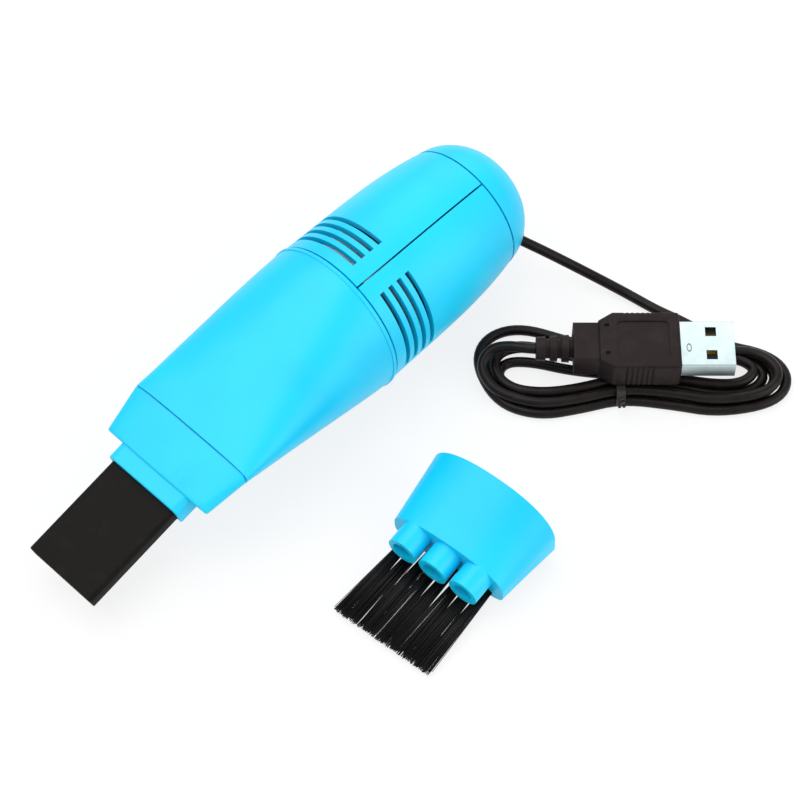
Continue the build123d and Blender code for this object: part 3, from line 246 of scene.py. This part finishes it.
cloth_low, cloth_high = (Vector(corner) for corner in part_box("filter_cloth"))
cloth_middle = (cloth_low + cloth_high) / 2
cloth_radius = (cloth_high.y - cloth_low.y) / 2 - 0.45 * mm
cloth_depth = cloth_high.x - cloth_low.x - 0.4 * mm
rim_inset, pole_inset = 0.05 * mm, 0.35 * mm
cloth_thickness = 0.5 * mm

# How the cup widens from its pole, and how flat its crown and how round its shoulder are.
cup_swell, cup_crown, cup_shoulder = 0.85, 5.0, 0.55

# The folds stand this high, and start at this share of the way from the pole to the rim.
fold_height, fold_start, fold_count = 0.35 * mm, 0.45, 22
rings, spokes = 26, 132

cup = bmesh.new()
rows = []
for ring in range(1, rings + 1):
    share = ring / rings
    row = []
    for spoke in range(spokes):
        turn = 2 * pi * spoke / spokes
        side = max(share - fold_start, 0) / (1 - fold_start)
        unevenness = 0.7 + 0.3 * sin(3 * turn)
        fold = fold_height * side * (1 - side) * 4 * cos(fold_count * turn) * unevenness
        opening = sin(share * pi / 2)
        radius = cloth_radius * opening ** cup_swell + fold
        along = cloth_high.x - rim_inset - cloth_depth * (1 - opening ** cup_crown) ** cup_shoulder
        across = cloth_middle.y + radius * cos(turn)
        up = cloth_middle.z + radius * sin(turn)
        row.append(cup.verts.new((along, across, up)))
    rows.append(row)
pole = cup.verts.new((cloth_low.x + pole_inset, cloth_middle.y, cloth_middle.z))
for spoke in range(spokes):
    cup.faces.new((pole, rows[0][spoke], rows[0][spoke - 1]))
    for near, far in zip(rows, rows[1:]):
        cup.faces.new((near[spoke - 1], near[spoke], far[spoke], far[spoke - 1]))
bmesh.ops.recalc_face_normals(cup, faces=cup.faces)
cloth_mesh = bpy.data.meshes.new("filter_fleece")
cup.to_mesh(cloth_mesh)
cup.free()
cloth_mesh.shade_smooth()
cloth_mesh.materials.append(fibre_fleece)
filter_fleece = bpy.data.objects.new("filter_fleece", cloth_mesh)
bpy.context.scene.collection.objects.link(filter_fleece)
nap = filter_fleece.modifiers.new("thickness", "SOLIDIFY")
nap.thickness = cloth_thickness
nap.offset = 0
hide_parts("filter_cloth")
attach(filter_fleece, "filter")


# ---------------------------------------------------------------- rear housing
# Two half shells that carry the fan and the motor, held by two screws from one side, a dome that
# closes the tail, and the knob of the slide switch, all moulded in the cup's cyan plastic.

for node in ("rear_shell_left", "rear_shell_right", "tail_cap", "switch_knob"):
    moulding(node, node + "_moulding", cyan_moulding)

screw_bright, screw_dull = (0.58, 0.58, 0.60), (0.40, 0.39, 0.38)

screw_steel, shader, place = new_finish("plated_screw_steel")
screw_wear = place.grain(1500, 4.0)
feed(shader["Base Color"], screw_wear.between(0.3, 0.8).mixed(screw_bright, screw_dull))
feed(shader["Roughness"], screw_wear * 0.2 + 0.24)
feed(shader["Normal"], relief(place.grain(6000, 2.0), 0.004 * mm, 0.5))
shader["Metallic"].default_value = 1.0
moulding("shell_screws", "self_tapping_screws", screw_steel)


# ---------------------------------------------------------------- fan
# A black shroud with a round eye, and a white nylon impeller pressed on the motor's shaft. The
# motor's seat and the body of the switch are moulded in the shroud's plastic.

black_clean, black_dusty = (0.016, 0.016, 0.017), (0.050, 0.048, 0.045)

black_moulding, shader, place = new_finish("black_moulding")
fan_dust = place.grain(260, 5.0).between(0.4, 0.85)
feed(shader["Base Color"], fan_dust.mixed(black_clean, black_dusty))
feed(shader["Roughness"], fan_dust * 0.2 + 0.42)
feed(shader["Normal"], relief(place.grain(4200, 2.0), 0.01 * mm, 0.6))
for node in ("fan_shroud", "motor_mount", "switch_body"):
    moulding(node, node + "_moulding", black_moulding)
moulding("impeller", "fan_wheel", natural_nylon)


# ---------------------------------------------------------------- motor
# A small flat-sided motor: a drawn steel can with two ferrite magnets, a three-pole core wound with
# enamelled copper, a copper commutator with bronze leaves, and a nylon end bell.

can_bright, can_dull = (0.62, 0.62, 0.63), (0.46, 0.45, 0.44)
plate_face, plate_joint = (0.30, 0.30, 0.32), (0.16, 0.16, 0.17)
ferrite_dark, ferrite_pale = (0.035, 0.035, 0.038), (0.085, 0.085, 0.088)
copper_deep, copper_bright = (0.52, 0.17, 0.06), (0.80, 0.36, 0.16)
bar_bright, bar_worn = (0.72, 0.34, 0.17), (0.34, 0.17, 0.10)
bronze_bright, bronze_oiled = (0.62, 0.42, 0.20), (0.36, 0.22, 0.10)
ceramic_ochre, ceramic_brown = (0.56, 0.27, 0.05), (0.40, 0.17, 0.03)

can_steel, shader, place = new_finish("drawn_can_steel")
drawing = place.stretched(0.05, 1, 1).grain(2600, 4.0)
feed(shader["Base Color"], drawing.between(0.3, 0.8).mixed(can_bright, can_dull))
feed(shader["Roughness"], drawing * 0.16 + 0.26)
feed(shader["Normal"], relief(drawing, 0.003 * mm, 0.4))
shader["Metallic"].default_value = 1.0
for node in ("motor_can", "motor_shaft", "switch_pins"):
    moulding(node, node + "_metal", can_steel)

core_steel, shader, place = new_finish("stacked_core_steel")
plates = place.node("ShaderNodeTexWave", {"bands_direction": "X"},
                    {"Vector": place, "Scale": 320.0}, output=1)
feed(shader["Base Color"], plates.mixed(plate_face, plate_joint))
feed(shader["Roughness"], place.grain(1400, 3.0) * 0.2 + 0.38)
feed(shader["Normal"], relief(plates, 0.05 * mm, 0.7))
shader["Metallic"].default_value = 1.0
moulding("armature_core", "armature_plates", core_steel)

ferrite, shader, place = new_finish("sintered_ferrite")
ferrite_grain = place.grain(1100, 5.0)
feed(shader["Base Color"], ferrite_grain.between(0.3, 0.8).mixed(ferrite_dark, ferrite_pale))
feed(shader["Roughness"], ferrite_grain * 0.2 + 0.55)
feed(shader["Normal"], relief(ferrite_grain, 0.03 * mm, 0.7))
moulding("motor_magnets", "ferrite_magnets", ferrite)

copper_wire, shader, place = new_finish("enamelled_copper_wire")
windings = place.node("ShaderNodeTexWave", {"bands_direction": "DIAGONAL"},
                      {"Vector": place, "Scale": 900.0}, output=1)
feed(shader["Base Color"], windings.mixed(copper_deep, copper_bright))
feed(shader["Roughness"], windings * 0.1 + 0.24)
feed(shader["Normal"], relief(windings, 0.1 * mm, 0.8))
shader["Metallic"].default_value = 0.9
moulding("armature_windings", "copper_windings", copper_wire)

turned_copper, shader, place = new_finish("turned_copper")
track = place.stretched(1, 0.04, 0.04).grain(5000, 3.0)
feed(shader["Base Color"], track.between(0.35, 0.75).mixed(bar_bright, bar_worn))
feed(shader["Roughness"], track * 0.2 + 0.24)
feed(shader["Normal"], relief(track, 0.01 * mm, 0.6))
shader["Metallic"].default_value = 1.0
moulding("commutator", "commutator_bars", turned_copper)

oiled_bronze, shader, place = new_finish("oiled_bronze")
oil = place.grain(900, 4.0)
feed(shader["Base Color"], oil.between(0.35, 0.8).mixed(bronze_bright, bronze_oiled))
feed(shader["Roughness"], oil * 0.2 + 0.26)
feed(shader["Normal"], relief(place.grain(3600, 2.0), 0.01 * mm, 0.5))
shader["Metallic"].default_value = 1.0
for node in ("motor_bushes", "motor_leaves", "motor_terminals"):
    moulding(node, node + "_metal", oiled_bronze)

moulding("motor_end_bell", "end_bell", natural_nylon)

dipped_ceramic, shader, place = new_finish("dipped_ceramic")
dip = place.grain(420, 3.0)
feed(shader["Base Color"], dip.between(0.3, 0.8).mixed(ceramic_ochre, ceramic_brown))
feed(shader["Roughness"], dip * 0.12 + 0.22)
feed(shader["Normal"], relief(dip, 0.06 * mm, 0.6))
moulding("noise_capacitor", "ceramic_capacitor", dipped_ceramic)


# ---------------------------------------------------------------- wires
# Thin stranded wires in a soft red jacket, soldered from the cord to the switch and the motor.

wire_red, wire_red_deep = (0.46, 0.018, 0.016), (0.32, 0.012, 0.012)

red_jacket, shader, place = new_finish("red_wire_jacket")
wire_shine = place.grain(700, 3.0)
feed(shader["Base Color"], wire_shine.between(0.3, 0.8).mixed(wire_red, wire_red_deep))
feed(shader["Roughness"], wire_shine * 0.14 + 0.34)
feed(shader["Normal"], relief(place.grain(3000, 2.0), 0.008 * mm, 0.5))
for node in ("supply_wires", "switch_wire"):
    moulding(node, node + "_jacket", red_jacket, crease=50)


# ---------------------------------------------------------------- cord
# A round rubber cord that leaves the tail through a gland, runs over the table and lies folded in
# a hank of four and a half turns. It ends in the relief of its plug.

cord_diameter = 2.4 * mm
cord_black, cord_rubbed = (0.0060, 0.0036, 0.0036), (0.0120, 0.0076, 0.0076)

# The gland sits this far round the tail from its top, and points this far off the body's line. Its
# middle is on that line, level with the gland, and its distance runs from there to the surface.
gland_round, gland_tilt = radians(119.0), radians(62.0)
gland_side = (-sin(gland_round), cos(gland_round))
gland_middle, gland_distance = Vector((62.53, 25.39, 18.85)), 13.30

# Where the cord starts inside the gland, leaves it and begins to droop, from the tail's surface.
cord_start, cord_exit, cord_droop = -3.8, 2.0, 8.2

lead_route = [
    (71.73, -1.47, 3.5), (74.63, -9.67, 1.4), (75.93, -17.77, 1.25), (78.2, -25.8, 1.25),
    (78.3, -33.6, 1.25),
]
hank_middle = Vector((59.2, -25.01, 0))
hank_turn = radians(-46.05)
hank_long = Vector((cos(hank_turn), sin(hank_turn), 0))
hank_across = Vector((-sin(hank_turn), cos(hank_turn), 0))

# Outermost and innermost middle lines of the cord at stations round the hank, clockwise from
# the left end.
hank_stations = [
    ((-35.6, 2.9), (-30.8, -0.8)), ((-33.0, 10.2), (-28.8, 3.0)), ((-25.4, 13.4), (-22.6, 3.0)),
    ((-14.2, 9.8), (-14.0, 0.6)), ((-3.0, 6.0), (-3.0, -0.8)), ((10.0, 6.6), (8.0, 0.6)),
    ((21.8, 6.4), (17.0, 2.2)), ((31.2, 5.0), (23.6, 3.0)), ((35.4, -1.2), (27.8, -0.6)),
    ((32.0, -7.8), (23.8, -4.2)), ((18.8, -10.6), (16.6, -3.8)), ((8.0, -8.4), (8.0, -1.6)),
    ((-3.2, -7.0), (-3.2, -1.8)), ((-12.0, -9.5), (-12.0, -4.4)), ((-21.8, -11.4), (-20.5, -5.4)),
    ((-31.0, -7.8), (-27.6, -4.7)),
]

# The cord comes to the hank at this station and is laid round it this many times.
first_station, hank_turns = 7, 4.5

# How far in from the outermost line the cord lies, and how high, against the turns already laid.
turn_shares = [(0.5, 0.0), (1.0, 0.35), (1.5, 0.5), (2.0, 0.68), (2.5, 1.0), (3.0, 1.0), (3.35, 0.76),
               (3.6, 0.76), (4.0, 0.27)]
turn_heights = [(2.7, 1.25), (3.0, 3.42)]

# The way up from the hank to the plug's relief, along, across and above the hank.
plug_route = [
    (-33.4, -3.6, 4.2), (-34.4, 0.0, 5.6), (-32.0, 2.8, 7.2), (-28.2, 2.6, 8.5), (-25.0, 1.5, 9.2),
    (-22.2, 1.2, 9.35),
]


def along_table(table, spot):
    """The value at a spot of a table of spots and values, straight between them."""
    for (before, low), (after, high) in zip(table, table[1:]):
        if spot < after:
            return low + (high - low) * max(spot - before, 0) / (after - before)
    return table[-1][1]


def on_hank(along, across, height):
    """A point of the hank in the part's frame, in millimetres."""
    return hank_middle + hank_long * along + hank_across * across + Vector((0, 0, height))


def cord_route():
    """Control points of the whole cord, in millimetres, from inside the gland to the plug."""
    out = Vector((cos(gland_tilt), sin(gland_tilt) * gland_side[0], sin(gland_tilt) * gland_side[1]))
    surface = gland_middle + Vector((0, gland_side[0], gland_side[1])) * gland_distance
    points = [surface + out * reach for reach in (cord_start, cord_exit, cord_droop)]
    points += [Vector(point) for point in lead_route]
    stations = len(hank_stations)
    for step in range(first_station, first_station + int(hank_turns * stations) + 1):
        laid = step / stations - 0.5
        share, height = along_table(turn_shares, laid), along_table(turn_heights, laid)
        outer, inner = hank_stations[step % stations]
        points.append(on_hank(outer[0] + (inner[0] - outer[0]) * share,
                              outer[1] + (inner[1] - outer[1]) * share, height))
    points += [on_hank(*point) for point in plug_route]
    return [point * mm for point in points]


def cord_curve(name, points, diameter):
    """A round cord on a smooth line through its route."""
    line = bpy.data.curves.new(name, "CURVE")
    line.dimensions = "3D"
    spline = line.splines.new("NURBS")
    spline.points.add(len(points) - 1)
    for knot, point in zip(spline.points, points):
        knot.co = (*point, 1)
    spline.order_u = 3
    spline.use_endpoint_u = True
    spline.resolution_u = 6
    line.bevel_depth = diameter / 2
    line.bevel_resolution = 5
    piece = bpy.data.objects.new(name, line)
    bpy.context.scene.collection.objects.link(piece)
    return piece


cord_jacket, shader, place = new_finish("cord_jacket")
jacket_shine = place.grain(300, 4.0)
feed(shader["Base Color"], jacket_shine.between(0.35, 0.75).mixed(cord_black, cord_rubbed))
feed(shader["Roughness"], jacket_shine * 0.12 + 0.30)
feed(shader["Normal"], relief(place.grain(2600, 2.0), 0.01 * mm, 0.5))
shader["Specular IOR Level"].default_value = 0.18

cord = cord_curve("power_cord", cord_route(), cord_diameter)
cord.data.materials.append(cord_jacket)
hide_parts("cord_lead", "cord_coil", "plug_lead")
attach(cord, "rear")
moulding("cord_gland", "cord_grommet", cord_jacket)


# ---------------------------------------------------------------- cord tie
# A paper-covered wire wrapped once round the hank. Its two ends are twisted together, and the
# twist stands out at the hank's outer side.

tie_brown = (0.012, 0.008, 0.007)
tie_scuffed = (0.040, 0.028, 0.024)

tie_paper, shader, place = new_finish("tie_paper")
scuff = place.grain(1300, 4.0)
feed(shader["Base Color"], scuff.between(0.45, 0.8).mixed(tie_brown, tie_scuffed))
feed(shader["Roughness"], scuff * 0.2 + 0.5)
feed(shader["Normal"], relief(scuff, 0.03 * mm, 0.6))
tie_band = moulding("cord_tie", "tie_band", tie_paper, crease=50)

twist_radius, twist_wire, twist_length = 0.40 * mm, 0.40 * mm, 2.8 * mm
twist_turns, twist_opening, twist_points = 1.5, 0.3, 28
twist_root = on_hank(-3.2, -7.8, 4.4) * mm
twist_way = (hank_across * -0.92 + hank_long * 0.04 + Vector((0, 0, -0.30))).normalized()
twist_side = twist_way.orthogonal().normalized()
twist_up = twist_way.cross(twist_side)
twist = bpy.data.curves.new("tie_twist", "CURVE")
twist.dimensions = "3D"
for start in (0, pi):
    strand = twist.splines.new("NURBS")
    strand.points.add(twist_points - 1)
    for step, knot in enumerate(strand.points):
        share = step / (twist_points - 1)
        turn = start + 2 * pi * twist_turns * share
        spread = twist_radius * (1 + twist_opening * share)
        spot = twist_root + twist_way * twist_length * share
        knot.co = (*(spot + (twist_side * cos(turn) + twist_up * sin(turn)) * spread), 1)
    strand.order_u = 3
    strand.use_endpoint_u = True
    strand.resolution_u = 3
twist.bevel_depth = twist_wire
twist.bevel_resolution = 3
twist.use_fill_caps = True
twist.materials.append(tie_paper)
tie_twist = bpy.data.objects.new("tie_twist", twist)
bpy.context.scene.collection.objects.link(tie_twist)
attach(tie_twist, "rear")


# ---------------------------------------------------------------- plug
# A type A plug: a brown-black rubber body moulded over its cable, with a sunk panel and grip
# grooves, round a folded shell of bright plated steel with a black tongue and four gold contacts.

plug_brown = (0.0130, 0.0070, 0.0068)
plug_rubbed = (0.0220, 0.0135, 0.0130)
plating_bright, plating_handled = (0.62, 0.74, 0.75), (0.54, 0.66, 0.67)
tongue_dark, tongue_pale = (0.030, 0.031, 0.031), (0.055, 0.056, 0.056)
gold_bright, gold_wiped = (0.86, 0.60, 0.20), (0.66, 0.42, 0.14)

# A plain oval ring of painted shade on the shell's top face, standing for the shaded rim of a pressed
# dimple that the mesh does not have: its middle, its half sizes and its colour.
dimple_middle = on_hank(11.8, 0, 0) * mm
dimple_half_length, dimple_half_width = 0.50 * mm, 1.0 * mm
dimple_shade_grey = (0.10, 0.12, 0.13)

plug_skin, shader, place = new_finish("plug_skin")
rub = place.grain(260, 4.0)
feed(shader["Base Color"], rub.between(0.4, 0.8).mixed(plug_brown, plug_rubbed))
feed(shader["Roughness"], rub * 0.14 + 0.44)
feed(shader["Normal"], relief(place.grain(6500, 2.0), 0.008 * mm, 0.7))
shader["Specular IOR Level"].default_value = 0.16
plug_body = moulding("plug_overmold", "plug_body", plug_skin, rounding=0.12 * mm)

bright_plating, shader, place = new_finish("bright_plating")
handling = place.grain(420, 4.0)
hairlines = place.stretched(1, 1, 0.1).grain(3800, 3.0)
axes = [place.node("ShaderNodeSeparateXYZ", {}, {"Vector": place}, axis) for axis in (0, 1)]
from_dimple = [axes[0] - dimple_middle.x, axes[1] - dimple_middle.y]
dimple_along = (from_dimple[0] * hank_long.x + from_dimple[1] * hank_long.y) / dimple_half_length
dimple_across = (from_dimple[0] * hank_across.x + from_dimple[1] * hank_across.y) / dimple_half_width
dimple_edge = (dimple_along * dimple_along + dimple_across * dimple_across) ** 0.5
# The dark grey ring is painted shade, drawn where the rim of the dimple would fall into shadow.
painted_dimple_shade = dimple_edge.between(0.72, 0.86) * (1 - dimple_edge.between(1.05, 1.2))
plated = handling.between(0.35, 0.8).mixed(plating_bright, plating_handled)
feed(shader["Base Color"], painted_dimple_shade.mixed(plated, dimple_shade_grey))
feed(shader["Roughness"], hairlines * 0.10 + handling * 0.08 + 0.24)
feed(shader["Normal"], relief(hairlines, 0.002 * mm, 0.4))
shader["Metallic"].default_value = 1.0
plug_shell = moulding("usb_shell", "plug_shell", bright_plating, rounding=0.06 * mm)

tongue_black, shader, place = new_finish("tongue_black")
feed(shader["Base Color"], place.grain(500, 3.0).between(0.3, 0.8).mixed(tongue_dark, tongue_pale))
feed(shader["Roughness"], place.grain(900, 3.0) * 0.15 + 0.4)
feed(shader["Normal"], relief(place.grain(4000, 2.0), 0.006 * mm, 0.5))
plug_tongue = moulding("usb_tongue", "plug_tongue", tongue_black)

gold_plating, shader, place = new_finish("gold_plating")
wiped = place.grain(2400, 3.0)
feed(shader["Base Color"], wiped.between(0.35, 0.8).mixed(gold_bright, gold_wiped))
feed(shader["Roughness"], wiped * 0.12 + 0.2)
feed(shader["Normal"], relief(wiped, 0.003 * mm, 0.4))
shader["Metallic"].default_value = 1.0
plug_contacts = moulding("usb_contacts", "plug_contacts", gold_plating)

tuple(cord_route()[2])


# ---------------------------------------------------------------- brush head
# A hollow cyan moulding that widens to the mouth that fits over the collar, with three suction
# tubes at its narrow end.

for node in ("brush_cap", "brush_socket"):
    moulding(node, node + "_moulding", cyan_moulding)


# ---------------------------------------------------------------- bristles
# Eight tufts of black nylon bristles, set in a row of holes under the tubes. They fan out a little
# and end unevenly.

bristle_black, bristle_shine = (0.0035, 0.0030, 0.0028), (0.0110, 0.0090, 0.0080)

# The brush head's mouth: its place, its base under its widest line, and its rim over the table.
mouth_x, mouth_y, mouth_drop, mouth_lift = 9.8, -28.01, 8.5, 0.03

# The bristles start this far from the mouth and this far under its widest line.
bristle_start, bristle_drop = 13.7, -4.5

brush_yaw, brush_pitch = radians(6.0), radians(4.0)
brush_way = Vector((-cos(brush_yaw) * cos(brush_pitch), -sin(brush_yaw) * cos(brush_pitch),
                    -sin(brush_pitch)))
brush_side = Vector((sin(brush_yaw), -cos(brush_yaw), 0))
brush_up = brush_way.cross(brush_side)
brush_mouth = Vector((mouth_x, mouth_y, mouth_drop * cos(brush_pitch) + mouth_lift)) * mm
bristle_root = brush_mouth + brush_way * bristle_start * mm + brush_up * bristle_drop * mm

nylon_bristle, shader, place = new_finish("nylon_bristle")
streak = place.grain(2600, 2.0)
feed(shader["Base Color"], streak.between(0.3, 0.8).mixed(bristle_black, bristle_shine))
feed(shader["Roughness"], streak * 0.15 + 0.36)
shader["Specular IOR Level"].default_value = 0.25

bristle_tree = bpy.data.node_groups.new("bristle_row", "GeometryNodeTree")
bristle_tree.interface.new_socket("Geometry", in_out="OUTPUT", socket_type="NodeSocketGeometry")
bristle_sizes = {
    "Tufts": ("NodeSocketInt", 8), "Bristles in a tuft": ("NodeSocketInt", 95),
    "Tuft pitch": ("NodeSocketFloat", 3.0 * mm), "Tuft radius": ("NodeSocketFloat", 1.0 * mm),
    "Fan": ("NodeSocketFloat", 1.05), "Lean": ("NodeSocketFloat", -0.5 * mm),
    "Tip spread": ("NodeSocketFloat", 2.1), "Length": ("NodeSocketFloat", 26.0 * mm),
    "Uneven": ("NodeSocketFloat", 1.5 * mm), "Bristle radius": ("NodeSocketFloat", 0.1 * mm),
    "Seed": ("NodeSocketInt", 7),
}
for name, (kind, value) in bristle_sizes.items():
    bristle_tree.interface.new_socket(name, in_out="INPUT", socket_type=kind)
group_in = bristle_tree.nodes.new("NodeGroupInput")
size = {name: Signal(group_in.outputs[name]) for name in bristle_sizes}


def chance(low, high, draw):
    """A random number for each bristle, different for each draw."""
    return size["Seed"].node("FunctionNodeRandomValue", {"data_type": "FLOAT"},
                             {2: low, 3: high, 8: size["Seed"] + draw}, output=1)


# How far a tip strays from its place, how flat the row is at its tips, and how thin a tip is.
stray_side, stray_up, tip_flatness, tip_taper = 0.35 * mm, 0.15 * mm, 0.85, 0.7

number = size["Seed"].node("GeometryNodeInputIndex")
tuft = number.maths("FLOOR", number / size["Bristles in a tuft"]) - (size["Tufts"] - 1) * 0.5
angle = chance(0.0, 2 * pi, 1)
reach_out = chance(0.0, 1.0, 2) ** 0.5 * size["Tuft radius"]
from_side = reach_out * angle.maths("COSINE", angle)
from_up = reach_out * angle.maths("SINE", angle)
root_side = tuft * size["Tuft pitch"] + from_side
tip_side = (tuft * size["Tuft pitch"] * size["Fan"] + size["Lean"] + from_side * size["Tip spread"]
            + chance(-stray_side, stray_side, 3))
tip_up = from_up * tip_flatness + chance(-stray_up, stray_up, 4)
length = size["Length"] - chance(0.0, 1.0, 5) ** 2.0 * size["Uneven"]
strand = size["Seed"].node("GeometryNodeMeshCone", {"fill_type": "NGON"},
                           {"Vertices": 6, "Radius Top": size["Bristle radius"] * tip_taper,
                            "Radius Bottom": size["Bristle radius"], "Depth": 1.0})
root = number.node("ShaderNodeCombineXYZ", {}, {"X": root_side, "Y": from_up})
lean_way = number.node("ShaderNodeCombineXYZ", {},
                       {"X": tip_side - root_side, "Y": tip_up - from_up, "Z": length})
spots = number.node("GeometryNodePoints", {},
                    {"Count": size["Tufts"] * size["Bristles in a tuft"], "Position": root})
turned = number.node("FunctionNodeAlignRotationToVector", {"axis": "Z"}, {"Vector": lean_way})
stretch = number.node("ShaderNodeCombineXYZ", {}, {"X": 1.0, "Y": 1.0, "Z": length})
row = number.node("GeometryNodeInstanceOnPoints", {},
                  {"Points": spots, "Instance": strand, "Rotation": turned, "Scale": stretch})
loose = number.node("GeometryNodeRealizeInstances", {}, {"Geometry": row})
painted = number.node("GeometryNodeSetMaterial", {}, {"Geometry": loose, "Material": nylon_bristle})
group_out = bristle_tree.nodes.new("NodeGroupOutput")
bristle_tree.links.new(painted.socket, group_out.inputs["Geometry"])

grower = bpy.data.objects.new("bristle_grower", bpy.data.meshes.new("bristle_grower"))
bpy.context.scene.collection.objects.link(grower)
growth = grower.modifiers.new("bristle_row", "NODES")
growth.node_group = bristle_tree
for item in bristle_tree.interface.items_tree:
    if item.in_out == "INPUT":
        growth[item.identifier] = bristle_sizes[item.name][1]
depsgraph = bpy.context.evaluated_depsgraph_get()
bristle_mesh = bpy.data.meshes.new_from_object(grower.evaluated_get(depsgraph))
bpy.data.objects.remove(grower)
turn_over = Matrix((brush_side, brush_up, brush_way)).transposed().to_4x4()
bristle_mesh.transform(Matrix.Translation(bristle_root) @ turn_over)
bristle_mesh.shade_smooth()
bristles = bpy.data.objects.new("bristles", bristle_mesh)
bpy.context.scene.collection.objects.link(bristles)
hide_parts("brush_tufts")
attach(bristles, "brush")


# ---------------------------------------------------------------- light box
# The vacuum lies on a white sweep under three large soft boxes, one overhead, one behind the tail
# and one beyond the hank of cord, so that its shadow is short and pale.

# The white surroundings light everything at one level, and look this much brighter themselves.
sky_light, sky_seen = 0.66, 0.34
sweep_reach = 1.2
sweep_white_share = 0.8

world = bpy.data.worlds.new("light_box")
bpy.context.scene.world = world
world.use_nodes = True
sky = world.node_tree.nodes["Background"].inputs
sky["Color"].default_value = (1, 1, 1, 1)
sky_rays = world.node_tree.nodes.new("ShaderNodeLightPath")
feed(sky["Strength"], Signal(sky_rays.outputs["Is Camera Ray"]) * sky_seen + sky_light)

table_mesh = bpy.data.meshes.new("sweep")
corners = [(x * sweep_reach, y * sweep_reach, 0) for x, y in ((-1, -1), (1, -1), (1, 1), (-1, 1))]
table_mesh.from_pydata(corners, [], [(0, 1, 2, 3)])
table = bpy.data.objects.new("sweep", table_mesh)
bpy.context.scene.collection.objects.link(table)
paper, shader, place = new_finish("white_paper")
shader["Base Color"].default_value = (0.88, 0.88, 0.88, 1)
shader["Roughness"].default_value = 0.9
table_mesh.materials.append(paper)
rays = place.node("ShaderNodeLightPath")
seen = rays.maths("MAXIMUM", rays, Signal(rays.socket.node.outputs["Is Glossy Ray"]))
seen = seen.maths("MAXIMUM", seen, Signal(rays.socket.node.outputs["Is Transmission Ray"]))
white = place.node("ShaderNodeEmission", {}, {"Color": (1, 1, 1, 1), "Strength": 1.0})
surface = paper.node_tree.nodes["Material Output"].inputs["Surface"]
lit = Signal(surface.links[0].from_socket)
feed(surface, place.node("ShaderNodeMixShader", {}, {0: seen * sweep_white_share, 1: lit, 2: white}))


def soft_box(name, stand, width, watts):
    """A square area lamp that faces the middle of the table."""
    lamp = bpy.data.lights.new(name, "AREA")
    lamp.size = width
    lamp.energy = watts
    holder = bpy.data.objects.new(name, lamp)
    holder.location = stand
    holder.rotation_euler = (-Vector(stand)).to_track_quat("-Z", "Y").to_euler()
    bpy.context.scene.collection.objects.link(holder)


soft_box("top_box", (-0.10, 0.25, 0.75), 0.7, 3.6)
soft_box("tail_box", (0.55, 0.35, 0.5), 0.5, 1.0)
soft_box("side_box", (0.25, -0.65, 0.35), 0.6, 2.2)


# ---------------------------------------------------------------- camera
# A camera with a long lens on a stand, looking down on the whole set from in front of the nozzle, on
# the brush head's side. Its focal length is given in pixels of a picture 800 pixels wide.

sensor_width, picture_width, focal_pixels = 36, 800, 2759
camera_aim, camera_distance = Vector((0.01812, 0.00836, 0.0)), 0.620
camera_turn, camera_rise = radians(-46.05), radians(57.23)
away = Vector((sin(camera_turn) * cos(camera_rise), -cos(camera_turn) * cos(camera_rise),
               sin(camera_rise)))
lens = bpy.data.cameras.new("camera")
lens.sensor_width = sensor_width
lens.lens = sensor_width * focal_pixels / picture_width
camera = bpy.data.objects.new("camera", lens)
camera.location = camera_aim + away * camera_distance
camera.rotation_euler = (-away).to_track_quat("-Z", "Y").to_euler()
bpy.context.scene.collection.objects.link(camera)
bpy.context.scene.camera = camera
bpy.context.scene.view_settings.view_transform = "Standard"
